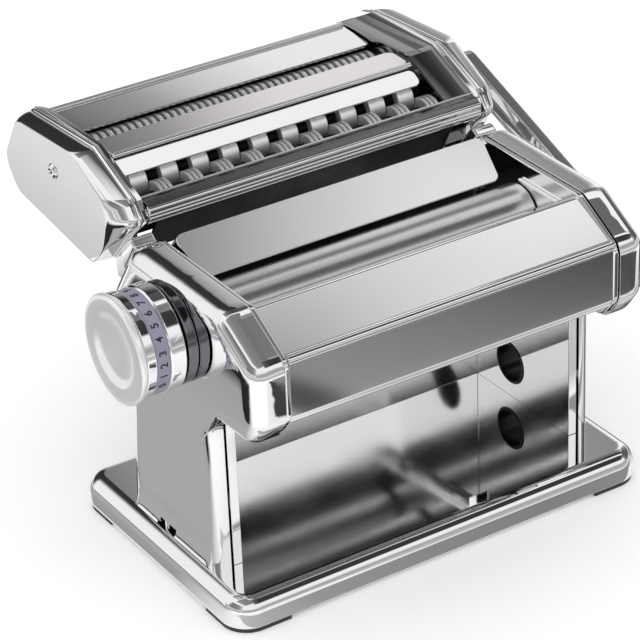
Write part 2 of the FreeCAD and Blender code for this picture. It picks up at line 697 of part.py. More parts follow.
hopper = new_body("hopper_plate")
low = D.hopper_half - D.hopper_taper
pad(hopper, outline(hopper, [(-low, -D.hopper_len), (low, -D.hopper_len), (D.hopper_half, 0),
    (-D.hopper_half, 0)],
                    -D.sheet_thick, "XY_Plane"), D.sheet_thick)
fillet(hopper, D.sheet_thick * 3, lambda e: along(e, 2))
turned_to(hopper, D.hopper_slope)
node(move(hopper, 0, D.hopper_top_y, D.hopper_top_z), "rear_hopper_plate")

slope = math.radians(D.hopper_slope.value)
under_y = D.hopper_top_y + D.sheet_thick * math.sin(slope)
under_z = D.hopper_top_z - D.sheet_thick * math.cos(slope)
panel_back = D.panel_y + D.sheet_thick
cover_path = [
    (under_y - 4 * math.cos(slope), under_z - 4 * math.sin(slope)), (under_y, under_z),
    (D.hopper_top_y + 6.3, D.cap_top - 3), (D.cap_rear - 4.5,
        D.cap_rear_z + 1), (panel_back + D.sheet_thick, D.panel_top + 2),
    (panel_back + D.sheet_thick, D.panel_top - 4)]
node(prism("cover_sheet", strip(cover_path, -D.sheet_thick), -D.guide_in, D.guide_in), "rear_cover")
panel_low = box("panel_low", -D.wall_in, D.wall_in, D.panel_y, panel_back, D.base_top, D.lobe_z + 9)
panel_high = box("panel_high", -D.frame_in + 0.4, D.frame_in - 0.4, D.panel_y, panel_back, D.base_top,
    D.panel_top)
node(fuse("panel_sheet", [panel_low, panel_high]), "rear_panel")

# Hopper cheeks, scrapers and tie rods inside the frame.

mid_y = front_axis / 2 - D.rear_axis / 2
cheek_points = [(-D.rear_axis + 3, D.cheek_top), (front_axis, D.cheek_top), (mid_y - 1, D.cheek_low),
                (mid_y + 1, D.cheek_low)]
cheek = prism("left_cheek", cheek_points, -D.frame_in, -D.cheek_in)
node(cheek, "left_end_cheek")
node(mirror("right_cheek", cheek), "right_end_cheek")

reach = D.roller_rad * 0.8
drop = D.roller_rad * 0.677
rear_tip = (-D.rear_axis + reach, D.roller_z - drop)
front_tip = (front_axis - reach, D.roller_z - drop)
node(prism("rear_blade", strip([(D.rear_axis * 0.77, D.fascia_lo), rear_tip], D.sheet_thick), -D.frame_in,
    D.frame_in), "rear_scraper")
node(prism("front_blade", strip([(-D.chin_y, D.fascia_lo), front_tip], -D.sheet_thick), -D.frame_in,
    D.frame_in),
     "front_scraper")
node(group("tie_pair", [rod("tie_front", D.tie_rad, -D.frame_in, D.frame_in, -D.chin_y + 6, D.apron_turn_z),
                        rod("tie_rear", D.tie_rad, -D.frame_in, D.frame_in, D.hopper_top_y + 2.8,
                            D.panel_top + 8)]), "tie_rods")

# Guides behind the frame, open on top for the cutter head's pins.

guide_body = prism("guide_body", [
    (D.guide_front, D.guide_low), (D.guide_rear, D.guide_low), (D.guide_rear, D.guide_top - 2),
    (D.guide_rear - 3, D.guide_top), (D.guide_front, D.guide_top)], -D.frame_in + 0.3, -D.guide_in)
guide_pad = box("guide_pad", -D.frame_in, -D.frame_in + 0.3, D.guide_front, D.panel_y + 1, D.guide_low,
    D.pin_low)
slot_half = D.guide_pin + D.slide_gap
guide_slot = box("guide_slot", -D.frame_in - 1, -D.guide_in + 1, D.guide_slot_y - slot_half,
                 D.guide_slot_y + slot_half, D.pin_low - D.guide_pin - 0.05, D.guide_top + 6)
guide = cut("left_rail", fuse("guide_blank", [guide_body, guide_pad]), [guide_slot])
node(guide, "left_guide")
node(mirror("right_rail", guide), "right_guide")


# Dial: a fixed flange and sleeve, a sliding spindle, and the turning ring, scale and face.

def turned(name, profile, y, z):
    """A body of revolution about X from its (x, radius) profile."""
    body = new_body(name)
    sketch = outline(body, profile, 0, "XY_Plane")
    feature = body.newObject("PartDesign::Revolution", name + "_turned")
    feature.Profile = sketch
    feature.ReferenceAxis = (sketch, ["H_Axis"])
    feature.Angle = 360
    return move(body, 0, y, z)


def ring(x0, x1, inner, outer, edge):
    """Profile of a ring with both outer edges broken."""
    return [(x0, inner), (x0, outer - edge), (x0 + edge, outer), (x1 - edge, outer), (x1, outer - edge),
        (x1, inner)]


dial_at = (-D.rear_axis, D.roller_z)
node(turned("flange", ring(-D.dial_flange_end, -D.shell_out, D.sleeve_rad + D.seat_gap, D.dial_flange_rad,
    0.7),
            *dial_at), "dial_flange")
node(turned("sleeve", ring(-D.dial_flange_end, -D.frame_out - 5, D.spindle_rad + D.run_gap, D.sleeve_rad,
    0.3),
            *dial_at), "dial_sleeve")
node(turned("spindle", ring(-D.dial_lip + 1, -D.frame_out - 5.5, 0, D.spindle_rad, 0.5), *dial_at),
    "dial_spindle")
hub = D.spindle_rad + D.run_gap
core = D.dial_rad - 1.6
node(turned("dial_body", [
    (-D.dial_lip, hub), (-D.dial_lip, D.dial_rad - 0.8), (-D.dial_lip + 0.8, D.dial_rad),
    (-D.scale_far - 0.8, D.dial_rad), (-D.scale_far, D.dial_rad - 0.8), (-D.scale_far,
        core), (-D.scale_near, core),
    (-D.scale_near, D.dial_rad - 0.8), (-D.scale_near + 0.8, D.dial_rad), (-D.dial_back - 0.8, D.dial_rad),
    (-D.dial_back, D.dial_rad - 0.8), (-D.dial_back, hub)], *dial_at), "dial_ring")
node(turned("scale_band", ring(-D.scale_far, -D.scale_near, core, D.dial_rad - 0.7, 0.2), *dial_at),
    "dial_scale")
node(turned("dial_front", [
    (-D.dial_lip, 0), (-D.dial_lip, D.dial_face_rad - 0.7), (-D.dial_lip - 0.7, D.dial_face_rad),
    (-D.dial_face_end + 0.7, D.dial_face_rad), (-D.dial_face_end, D.dial_face_rad - 0.8),
    (-D.dial_face_end, D.dial_face_rad - 2.6), (-D.dial_face_end + D.dish_deep * 0.7, D.dish_rad),
    (-D.dial_face_end + D.dish_deep, D.dish_rad - 5), (-D.dial_face_end + D.dish_deep,
        0)], *dial_at), "dial_face")

# Cutter head: plates, lofted caps, sheet covers, combs and guide pins.

rear_fine = (D.fine_y + D.pair_dy, D.fine_z + D.pair_dz)
rear_wide = (D.wide_y + D.pair_dy, D.wide_z + D.pair_dz)
axes = [(D.fine_y, D.fine_z), rear_fine, (D.wide_y, D.wide_z), rear_wide]


def head(points):
    """Points of the cutter head's side view, given as parts of its depth and height."""
    deep = D.head_rear - D.head_front
    high = D.head_top - D.head_low
    return [(D.head_front + deep * a, D.head_low + high * b) for a, b in points]


head_points = head([(0.8815, 0.9237), (0.7820, 0.9753), (0.3488, 0.9959), (0.0664, 0.7381),
    (0.0028, 0.5876), (0.1137, 0.3732), (0.1422, -0.1753), (0.2607, -0.1753),
    (0.2749, 0.0268), (0.9109, 0.1753), (0.9886, 0.4557)])


def head_plate(side):
    x0, x1 = (-D.frame_out, -D.frame_in) if side < 0 else (D.head_in, D.head_out)
    body = prism("head_plate", head_points, x0, x1)
    holes = [rod("head_bore", D.cut_bush + D.seat_gap, x0 - 1, x1 + 1, y, z) for y, z in axes]
    return cut("head_side", body, holes)


node(head_plate(-1), "left_cutter_plate")
node(head_plate(1), "right_cutter_plate")

rim_points = head([(0.8739, 0.9361), (0.3460, 1.0000), (0.0616, 0.7361), (0.0000, 0.5567),
    (0.0995, 0.3608), (0.2512, 0.0000), (0.9147, 0.1753), (1.0000, 0.4433)])
face_points = head([(0.8341, 0.8969), (0.3744, 0.9588), (0.1517, 0.6804), (0.1327, 0.5258),
    (0.1706, 0.1959), (0.2654, 0.0206), (0.8768, 0.1856), (0.9716, 0.4330)])
head_cap = new_body("head_cap")
loft(head_cap, "AdditiveLoft", outline(head_cap, rim_points, -D.frame_out),
    outline(head_cap, face_points, -D.left_face))
fillet(head_cap, D.head_round, lambda e: flat_at(e, 0, -D.left_face))
loft(head_cap, "SubtractiveLoft", outline(head_cap, offset(rim_points, D.head_wall, True), -D.frame_out),
     outline(head_cap, offset(face_points, D.head_wall, True), -D.left_face + D.head_wall))
node(head_cap, "left_cutter_cap")
hub_hole = rod("hub_hole", D.hub_rad + 0.6, D.right_face - 6, D.right_face + 3, D.fine_y, D.fine_z)
right_cap = move(mirror("right_cap_blank", head_cap), D.head_out - D.frame_out, 0, 0)
node(cut("right_head_cap", right_cap, [hub_hole]), "right_cutter_cap")

screws = []
for face, reach, spot in ((-D.left_face, -1.4, (0.5450, 0.6495)), (D.right_face, 1.4, (0.7062, 0.5876))):
    y, z = head([spot])[0]
    x0, x1 = (face + reach, face) if reach < 0 else (face, face + reach)
    screws.append(rod("screw_head", D.hub_rad * 0.6, x0, x1, y, z))
node(group("screw_set", screws), "cap_screws")

rear_sheet = head([
    (0.6209, 0.9216), (0.8057, 0.9381), (0.8341, 0.9175), (0.9763, 0.4598), (0.9147, 0.1918)])
node(prism("head_rear", strip(rear_sheet, -D.sheet_thick), -D.frame_in, D.head_in), "cutter_rear_cover")
ridge_sheet = head([(0.4360, 0.9876), (0.2749, 0.9794), (0.2597, 0.9134), (0.1867, 0.8247)])
ridge_plate = prism("ridge_plate", strip(ridge_sheet, D.sheet_thick), -D.frame_in, D.frame_in - D.gear_room)
ridge_bar = prism("ridge_bar", head([(0.40, 0.965), (0.33, 0.965), (0.33, 0.91), (0.40, 0.91)]),
                  -D.frame_in, D.head_in)
node(fuse("head_ridge", [ridge_plate, ridge_bar]), "cutter_ridge")
rail_sheet = head([
    (0.1185, 0.7237), (0.0190, 0.7320), (0.0009, 0.6660), (0.0009, 0.5876), (0.0332, 0.5093)])
rail_front = prism("rail_front", strip(rail_sheet, D.sheet_thick), -D.frame_in, D.head_in)
skirt_sheet = head([(0.0256, 0.5278), (0.1242, 0.1629)])
skirt_half = D.guide_in - D.guide_thick / 2
rail_skirt = prism("rail_skirt", strip(skirt_sheet, D.sheet_thick), -skirt_half, skirt_half)
node(fuse("head_rail", [rail_front, rail_skirt]), "cutter_front_rail")


def combs(name, front, rear):
    return group(name, [prism(name + "_front", strip(front, -D.sheet_thick), -D.frame_in, D.head_in),
                        prism(name + "_rear", strip(rear, -D.sheet_thick), -D.frame_in, D.head_in)])


y, z = axes[0]
node(combs("fine_comb", [(y - 7, z - 9.2), (y + 4.5, z - 7.8)], [(y + 11.5, z - 2.4), (y + 22, z + 0.5)]),
    "fine_combs")
y, z = axes[2]
node(combs("wide_comb", [(y - 3, z - 8.7), (y + 4.5, z - 7.8)], [(y + 11.5, z - 2.4), (y + 22, z + 0.5)]),
    "wide_combs")

all_bushes = []
for y, z in axes:
    all_bushes += bushes(D.cut_bush, D.cut_journal + D.run_gap, y, z, -D.frame_in, D.head_in,
        D.cut_bush + 0.8)
node(group("cutter_bush_set", all_bushes), "cutter_bushes")

pins = []
for x0, x1 in ((-D.frame_in, -D.guide_in - 0.3), (D.guide_in + 0.3, D.head_in)):
    for z in (D.pin_low, D.pin_low + D.pin_step):
        pins.append(rod("head_pin", D.guide_pin, x0, x1, D.guide_slot_y, z))
node(group("pin_set", pins), "cutter_pins")

# Cutters: plain-envelope fine pair with the drive hub, disc-cut wide pair.

near_end = -D.frame_out - 1.5
far_end = D.cut_gear_far + 0.3
y, z = axes[0]
fine_solid = fuse("fine_solid", [
    rod("fine_barrel", D.fine_rad, -D.cutter_left, D.cutter_right, y, z),
    rod("fine_shaft", D.cut_journal, near_end, far_end, y, z), rod("fine_hub", D.hub_rad, far_end,
        D.hub_end, y, z)])
fine_socket = rod("fine_socket", D.socket_rad, D.hub_end - D.socket_deep, D.hub_end + 1, y, z)
node(cut("fine_drive", fine_solid, [fine_socket]), "fine_front_cutter")
y, z = axes[1]
node(fuse("fine_idle", [rod("fine_barrel_b", D.fine_rad, -D.cutter_left, D.cutter_right, y, z),
                        rod("fine_shaft_b", D.cut_journal, near_end, far_end, y, z)]), "fine_rear_cutter")


def wide_cutter(label, at, start):
    y, z = at
    solids = [rod(label + "_core", D.core_rad, -D.cutter_left, D.cutter_right, y, z),
              rod(label + "_shaft", D.cut_journal, near_end, far_end, y, z)]
    room = (D.cutter_left + D.cutter_right) / D.wide_pitch
    for i in range(int(room.value - start + 0.5)):
        x0 = -D.cutter_left + D.wide_pitch * (i + start) + 0.15
        solids.append(rod(label + "_disc", D.disc_rad, x0, x0 + D.wide_pitch / 2 - 0.3, y, z))
    return node(fuse(label + "_solid", solids), label)


wide_cutter("wide_front_cutter", axes[2], 0)
wide_cutter("wide_rear_cutter", axes[3], 0.5)
for label, at, turn in (("fine_front_gear", axes[0], D.pair_turn),
        ("wide_front_gear", axes[2], D.pair_turn),
                        ("fine_rear_gear", axes[1], D.pair_turn + dim(180) / D.cut_teeth),
                        ("wide_rear_gear", axes[3], D.pair_turn + dim(180) / D.cut_teeth)):
    gear(label, D.cut_teeth, D.cut_tip, D.cut_root, D.cut_journal, D.cut_gear_near, D.cut_gear_far, at[0],
        at[1],
         turn, 1.9, 0.8)

# Crank: a pressed channel arm with its shank, and a turning grip on a pin.


def bar(name, inset, x0, x1):
    half = D.arm_half - inset
    body = prism(name, [(-half, -half), (D.throw_len + half, -half), (D.throw_len + half, half),
        (-half, half)], x0, x1)
    fillet(body, half * 0.98, lambda e: along(e, 0))
    return body


arm_outer = bar("arm_outer", dim(0), 0, D.arm_far - D.arm_near)
fillet(arm_outer, D.arm_wall, lambda e: flat_at(e, 0, D.arm_far - D.arm_near))
arm_inner = bar("arm_inner", D.arm_wall, -1, D.arm_far - D.arm_near - D.arm_wall)
arm = cut("arm_channel", arm_outer, [arm_inner])
turned_to(arm, D.arm_turn)
move(arm, D.arm_near, D.fine_y, D.fine_z)

shank = ring(D.hub_end - D.socket_deep + 0.3, D.arm_far - D.arm_wall, 0, D.crank_rad, 0.4)
boss = rod("crank_boss", D.arm_half - D.arm_wall - 0.2, D.arm_near - 8, D.arm_far - D.arm_wall, D.fine_y,
    D.fine_z)
node(fuse("crank_stem", [turned("stem", shank, D.fine_y, D.fine_z), boss]), "crank_shank")

turn = math.radians(D.arm_turn.value)
grip_y = D.fine_y + D.throw_len * math.cos(turn)
grip_z = D.fine_z + D.throw_len * math.sin(turn)
pin_base = rod("grip_pin_base", D.arm_half - D.arm_wall - 0.2, D.arm_near + 1, D.arm_far - D.arm_wall,
    grip_y, grip_z)
pin_stem = rod("grip_pin_stem", D.grip_pin, D.arm_near + 1, D.grip_far + 1.8, grip_y, grip_z)
pin_neck = rod("grip_pin_neck", D.grip_pin + 2, D.arm_far, D.grip_near - 0.4, grip_y, grip_z)
pin_head = rod("grip_pin_head", D.grip_pin + 2, D.grip_far + 0.4, D.grip_far + 1.8, grip_y, grip_z)
pin_hole = rod("grip_pin_hole", D.grip_pin + D.seat_gap, D.arm_far - D.arm_wall - 1, D.arm_far + 1,
    grip_y, grip_z)
node(cut("arm_drilled", arm, [pin_hole]), "crank_arm")
node(fuse("grip_pin_solid", [pin_base, pin_stem, pin_neck, pin_head]), "crank_pin")
span = D.grip_far - D.grip_near
bore = D.grip_pin + D.run_gap
barrel = [(0.0, 0.70), (0.035, 0.86), (0.16, 0.95), (0.4, 1.0), (0.62, 0.99), (0.84, 0.9), (0.96, 0.74),
    (1.0, 0.6)]
grip_profile = [(D.grip_near, bore)] + [(D.grip_near + span * a, D.grip_rad * b) for a, b in barrel]
node(turned("grip_barrel", grip_profile + [(D.grip_far, bore)], grip_y, grip_z), "crank_grip")

doc.recompute()
bad = [o.Label for o in doc.Objects if "Invalid" in o.State or "Error" in o.State]
bad += [o.Label for o in nodes if o.Shape.isNull() or not o.Shape.isValid()]
if bad:
    raise RuntimeError("these objects did not build: " + ", ".join(bad))
os.makedirs("parts", exist_ok=True)
for obj in nodes:
    obj.Shape.exportStep("parts/%s.step" % obj.Label)
print("wrote %d parts" % len(nodes))
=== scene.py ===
import json
import math

import bmesh
import bpy
from mathutils import Matrix, Vector
from mathutils.kdtree import KDTree


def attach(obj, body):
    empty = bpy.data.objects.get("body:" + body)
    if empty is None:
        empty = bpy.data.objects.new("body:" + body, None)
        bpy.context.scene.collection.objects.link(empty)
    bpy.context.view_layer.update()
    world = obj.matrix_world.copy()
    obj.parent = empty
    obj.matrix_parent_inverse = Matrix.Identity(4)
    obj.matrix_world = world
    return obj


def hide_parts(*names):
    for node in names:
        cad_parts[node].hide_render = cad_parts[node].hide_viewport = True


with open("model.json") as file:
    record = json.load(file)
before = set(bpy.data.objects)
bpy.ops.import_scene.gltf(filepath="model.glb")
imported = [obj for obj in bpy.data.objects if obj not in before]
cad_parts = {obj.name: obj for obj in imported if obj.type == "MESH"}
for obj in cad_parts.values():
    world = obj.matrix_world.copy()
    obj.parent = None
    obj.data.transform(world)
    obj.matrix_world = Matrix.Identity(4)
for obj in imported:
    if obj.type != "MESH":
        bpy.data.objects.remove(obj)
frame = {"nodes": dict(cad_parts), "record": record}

# A table-top dough roller in mirror chrome. Metres; +X along the rollers to the crank, -Y the front, +Z up.
# The pieces are given in millimetres, and side-view outlines are lists of (Y, Z).

MM = 0.001
FULL_TURN = 2 * math.pi
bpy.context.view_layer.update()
scene = bpy.context.scene
record = frame["record"]
body_of_node = {n: b for b, names in record["behaviour"]["bodies"].items() for n in names}


# Finishes

WHITE = (1, 1, 1, 1)
MIX_FACTOR, MIX_FIRST, MIX_SECOND, MIX_RESULT = 0, 6, 7, 2
RIPPLE_DEPTH, STREAK_DEPTH, SKIN_DEPTH = 0.004, 0.0002, 0.0003


def colour_mix(tree, factor, first, second):
    """One colour turning into another by a factor; each is a node's output or a plain colour."""
    node = tree.nodes.new("ShaderNodeMix")
    node.data_type = "RGBA"
    tree.links.new(factor, node.inputs[MIX_FACTOR])
    for source, index in ((first, MIX_FIRST), (second, MIX_SECOND)):
        if isinstance(source, tuple):
            node.inputs[index].default_value = source
        else:
            tree.links.new(source, node.inputs[index])
    return node.outputs[MIX_RESULT]


class Finish:
    """A material and short ways to add nodes to it."""

    def __init__(self, name):
        self.material = bpy.data.materials.new(name)
        self.material.use_nodes = True
        self.tree = self.material.node_tree
        self.shader = self.tree.nodes["Principled BSDF"]
        self.place = self.tree.nodes.new("ShaderNodeTexCoord").outputs["Object"]

    def set(self, **values):
        for key, value in values.items():
            self.shader.inputs[key.replace("_", " ")].default_value = value
        return self

    def link(self, source, target):
        self.tree.links.new(source, self.shader.inputs[target] if isinstance(target, str) else target)

    def stretched(self, scale):
        node = self.tree.nodes.new("ShaderNodeMapping")
        node.inputs["Scale"].default_value = scale
        self.link(self.place, node.inputs["Vector"])
        return node.outputs["Vector"]

    def noise(self, scale, detail=3.0, rough=0.5, vector=None):
        node = self.tree.nodes.new("ShaderNodeTexNoise")
        node.inputs["Scale"].default_value = scale
        node.inputs["Detail"].default_value = detail
        node.inputs["Roughness"].default_value = rough
        self.link(vector or self.place, node.inputs["Vector"])
        return node.outputs["Fac"]

    def ramp(self, source, *stops):
        node = self.tree.nodes.new("ShaderNodeValToRGB")
        while len(node.color_ramp.elements) < len(stops):
            node.color_ramp.elements.new(0.5)
        for element, (at, colour) in zip(node.color_ramp.elements, stops):
            if isinstance(colour, (int, float)):
                colour = (colour,) * 3
            element.position = at
            element.color = tuple(colour) + (1,)
        self.link(source, node.inputs["Fac"])
        return node.outputs["Color"]

    def span(self, source, low, high, from_low=0.3, from_high=0.7):
        node = self.tree.nodes.new("ShaderNodeMapRange")
        node.inputs["From Min"].default_value = from_low
        node.inputs["From Max"].default_value = from_high
        node.inputs["To Min"].default_value = low
        node.inputs["To Max"].default_value = high
        self.link(source, node.inputs["Value"])
        return node.outputs["Result"]

    def mixed(self, kind, first, second):
        node = self.tree.nodes.new("ShaderNodeMath")
        node.operation = kind
        self.link(first, node.inputs[0])
        self.link(second, node.inputs[1])
        return node.outputs["Value"]

    def measured(self, kind, way=None):
        """One number worked out from the place: its distance along a way, or its length."""
        node = self.tree.nodes.new("ShaderNodeVectorMath")
        node.operation = kind
        self.link(self.place, node.inputs[0])
        if way:
            node.inputs[1].default_value = way
        return node.outputs["Value"]

    def bump(self, height, strength, distance):
        node = self.tree.nodes.new("ShaderNodeBump")
        node.inputs["Strength"].default_value = strength
        node.inputs["Distance"].default_value = distance
        self.link(height, node.inputs["Height"])
        self.link(node.outputs["Normal"], "Normal")
        return self


def chrome_finish(name, tint, rough, wave, lean=0.0, blot=0.25):
    """Plated sheet: a mirror with faint smudges and the slight waviness of a pressing.

    A lean tips the shading of a sheet by so much for each unit of height.
    """
    f = Finish(name).set(Metallic=1.0)
    smudge = f.noise(42, 5, 0.62)
    cloud = f.noise(9, 2)
    ripple = f.noise(14, 1.5)
    f.link(f.ramp(cloud, (0.3, [c * 0.97 for c in tint]), (0.7, tint)), "Base Color")
    f.link(f.span(smudge, rough * (1 - blot), rough * (1 + blot), 0.35, 0.75), "Roughness")
    if not lean:
        return f.bump(ripple, wave, RIPPLE_DEPTH).material
    parts = f.tree.nodes.new("ShaderNodeSeparateXYZ")
    f.link(f.place, parts.inputs["Vector"])
    swell = f.span(ripple, 0.0, wave * RIPPLE_DEPTH, 0.0, 1.0)
    tilt = f.span(parts.outputs["Z"], 0.0, lean, 0.0, 1.0)
    return f.bump(f.mixed("ADD", swell, tilt), 1.0, 1.0).material


def satin_finish(name, tint, rough, grain, depth, metal=1.0):
    """Metal drawn out along one direction, with fine streaks in gloss and height."""
    f = Finish(name).set(Metallic=metal)
    streak = f.noise(1.0, 3, 0.5, f.stretched(grain))
    cloud = f.noise(11, 3)
    f.link(f.ramp(cloud, (0.3, [c * 0.96 for c in tint]), (0.72, tint)), "Base Color")
    f.link(f.span(f.mixed("ADD", streak, cloud), rough * 0.9, rough * 1.1, 0.7, 1.3), "Roughness")
    return f.bump(streak, depth, STREAK_DEPTH).material


def moulded_finish(name, tint, rough, grain, depth, metal=0.0):
    """Moulded plastic or rubber with a fine skin grain and slight mottling."""
    f = Finish(name).set(Metallic=metal)
    skin = f.noise(grain, 3, 0.6)
    cloud = f.noise(30, 4)
    f.link(f.ramp(cloud, (0.3, [c * 0.9 for c in tint]), (0.7, tint)), "Base Color")
    f.link(f.span(cloud, rough * 0.88, rough * 1.12), "Roughness")
    return f.bump(skin, depth, SKIN_DEPTH).material


round_grain = (320, 40, 40)
long_grain = (9, 260, 260)
mirror_chrome = chrome_finish("mirror_chrome", (0.9, 0.9, 0.905), 0.035, 0.012)
sheet_chrome = chrome_finish("sheet_chrome", (0.8, 0.805, 0.825), 0.09, 0.008)
panel_chrome = chrome_finish("panel_chrome", (0.88, 0.875, 0.87), 0.14, 0.008, 0.056)
ridge_chrome = chrome_finish("ridge_chrome", (0.74, 0.71, 0.705), 0.09, 0.008)
# Painted shade: chrome tinted dark for the comb plate, standing for the shade and dark reflections under
# the front rail.
comb_plate_shade_chrome = chrome_finish("comb_plate_shade_chrome", (0.17, 0.17, 0.18), 0.1, 0.008)
# Painted shade: chrome tinted dark for the gear case inside the cutter head.
case_shade_chrome = chrome_finish("case_shade_chrome", (0.24, 0.235, 0.235), 0.06, 0.01)
dark_chrome = chrome_finish("dark_chrome", (0.16, 0.16, 0.175), 0.1, 0.012)
# Painted shade: near black for the clamp hole's sleeve and the floors of the screw sockets.
hollow_shade_black = chrome_finish("hollow_shade_black", (0.035, 0.035, 0.038), 0.3, 0.05)
# Painted shade: black for the inner sides of sheets and for dark sheets set where there is only shade.
painted_shade_black = chrome_finish("painted_shade_black", (0.012, 0.012, 0.013), 0.5, 0.05)
plate_satin = chrome_finish("plate_satin", (0.92, 0.915, 0.91), 0.16, 0.003, blot=0.04)
fascia_satin = chrome_finish("fascia_satin", (0.86, 0.86, 0.88), 0.13, 0.003, blot=0.04)
roller_satin = chrome_finish("roller_satin", (0.8, 0.8, 0.805), 0.27, 0.001, blot=0.03)
rib_satin = satin_finish("rib_satin", (0.92, 0.92, 0.925), 0.32, round_grain, 0.1, 0.75)
# Painted shade: a darker copy of the rib finish, for ribs that lie in shade.
rib_shaded_grey = satin_finish("rib_shaded_grey", (0.68, 0.68, 0.685), 0.36, round_grain, 0.1, 0.72)
# Painted shade: near black for the cutter cores, where shade falls between the discs.
core_shade_black = satin_finish("core_shade_black", (0.015, 0.015, 0.017), 0.5, round_grain, 0.1)
# Painted shade: near black for the scrapers, combs and ridge bar, which sit under other parts.
comb_shade_dark = satin_finish("comb_shade_dark", (0.06, 0.06, 0.063), 0.4, long_grain, 0.05)
drawn_steel = satin_finish("drawn_steel", (0.62, 0.62, 0.64), 0.26, long_grain, 0.08)
nylon = moulded_finish("white_nylon", (0.72, 0.71, 0.68), 0.5, 1800, 0.05)
foot_rubber = moulded_finish("foot_rubber", (0.035, 0.035, 0.036), 0.72, 1500, 0.2)
scale_plastic = moulded_finish("scale_plastic", (0.31, 0.29, 0.39), 0.38, 2000, 0.06)
face_silver = moulded_finish("face_silver", (0.93, 0.93, 0.935), 0.22, 900, 0.002, 0.4)
grip_plastic = moulded_finish("grip_plastic", (0.03, 0.03, 0.032), 0.42, 1600, 0.12)
digit_ink = moulded_finish("digit_ink", (0.014, 0.012, 0.028), 0.5, 3000, 0.03)


# Making pieces

EDGE_ANGLE = math.radians(30.0)
FLAT_WEIGHT = 60


def piece_from(mesh, name, body, material=None, replaced=()):
    """A finished object at the origin that rides on a body."""
    mesh.name = name
    obj = bpy.data.objects.new(name, mesh)
    scene.collection.objects.link(obj)
    if material:
        mesh.materials.clear()
        mesh.materials.append(material)
    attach(obj, body)
    if replaced:
        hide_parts(*replaced)
    return obj


def evaluated_mesh(obj):
    """The mesh that an object's modifiers or curve give; the object goes."""
    mesh = bpy.data.meshes.new_from_object(obj.evaluated_get(bpy.context.evaluated_depsgraph_get()))
    bpy.data.objects.remove(obj)
    return mesh


def pressed(mesh):
    """A mesh with every face shaded smooth into the next."""
    for face in mesh.polygons:
        face.use_smooth = True
    return mesh


def worked(mesh, width, segments=2):
    """The mesh with its sharp edges rounded and its faces shaded from their own flats."""
    obj = bpy.data.objects.new("work", pressed(mesh))
    scene.collection.objects.link(obj)
    if width:
        edge = obj.modifiers.new("edges", "BEVEL")
        edge.width = width
        edge.segments = segments
        edge.limit_method = "ANGLE"
        edge.angle_limit = EDGE_ANGLE
        edge.miter_outer = "MITER_ARC"
        edge.use_clamp_overlap = True
    weigh = obj.modifiers.new("flats", "WEIGHTED_NORMAL")
    weigh.keep_sharp = True
    weigh.weight = FLAT_WEIGHT
    return evaluated_mesh(obj)


def eased(mesh, cell, reach):
    """The mesh in small faces, its shading eased over a reach wherever the skin bends without a corner."""
    rounds, falloff, own_share, corner = 6, 2.0, 0.1, 0.35
    bm = bmesh.new()
    bm.from_mesh(mesh)
    bmesh.ops.triangulate(bm, faces=bm.faces)
    for _ in range(rounds):
        long_edges = [e for e in bm.edges if e.calc_length() > cell]
        if not long_edges:
            break
        bmesh.ops.subdivide_edges(bm, edges=long_edges, cuts=1)
        bmesh.ops.triangulate(bm, faces=bm.faces)
    fine = bpy.data.meshes.new("work")
    bm.to_mesh(fine)
    bm.free()
    ways = [face.normal.copy() for face in fine.polygons]
    sizes = [face.area for face in fine.polygons]
    tree = KDTree(len(sizes))
    for i, face in enumerate(fine.polygons):
        tree.insert(face.center, i)
    tree.balance()
    near = []
    for v in fine.vertices:
        found = tree.find_range(v.co, reach)
        near.append([(ways[i], sizes[i] * math.exp(-falloff * (far / reach) ** 2)) for _, i, far in found])
    corners = [None] * len(fine.loops)
    for face, way in zip(fine.polygons, ways):
        for k in face.loop_indices:
            total = way * (sizes[face.index] * own_share)
            for other, weight in near[fine.loops[k].vertex_index]:
                if other.dot(way) > corner:
                    total += other * weight
            corners[k] = total.normalized()
    pressed(fine).normals_split_custom_set(corners)
    return fine


def merged_copy(node, angle=0.4):
    """A solid's mesh with its loose triangles joined and faces that lie within an angle made whole."""
    same_place, no_length = 3e-6, 1e-7
    mesh = frame["nodes"][node].data.copy()
    for name in ("custom_normal", "sharp_edge", "sharp_face"):
        if name in mesh.attributes:
            mesh.attributes.remove(mesh.attributes[name])
    bm = bmesh.new()
    bm.from_mesh(mesh)
    bmesh.ops.remove_doubles(bm, verts=bm.verts, dist=same_place)
    bmesh.ops.dissolve_degenerate(bm, edges=bm.edges, dist=no_length)
    bmesh.ops.dissolve_limit(bm, angle_limit=math.radians(angle), verts=bm.verts, edges=bm.edges)
    bm.to_mesh(mesh)
    bm.free()
    return mesh


def dressed(node, material, width, segments):
    """A solid with broken edges and smooth curved faces, in its finish."""
    mesh = worked(merged_copy(node), width * MM, segments)
    return piece_from(mesh, node + "_finished", body_of_node[node], material, (node,))


def rounded(corners, radii, steps):
    """A closed side-view outline with each corner turned into an arc of so many steps."""
    longest_cut = 0.48
    points = []
    count = len(corners)
    for i, radius in enumerate(radii):
        here = Vector(corners[i])
        back = Vector(corners[i - 1]) - here
        on = Vector(corners[(i + 1) % count]) - here
        half = math.acos(max(-1.0, min(1.0, back.normalized().dot(on.normalized())))) / 2
        cut = min(radius / math.tan(half), back.length * longest_cut, on.length * longest_cut)
        size = cut * math.tan(half)
        a = here + back.normalized() * cut
        b = here + on.normalized() * cut
        centre = here + (back.normalized() + on.normalized()).normalized() * (size / math.sin(half))
        start = math.atan2(a.y - centre.y, a.x - centre.x)
        sweep = math.atan2(b.y - centre.y, b.x - centre.x) - start
        sweep = (sweep + math.pi) % FULL_TURN - math.pi
        for k in range(steps + 1):
            t = start + sweep * k / steps
            points.append((centre.x + size * math.cos(t), centre.y + size * math.sin(t)))
    return points


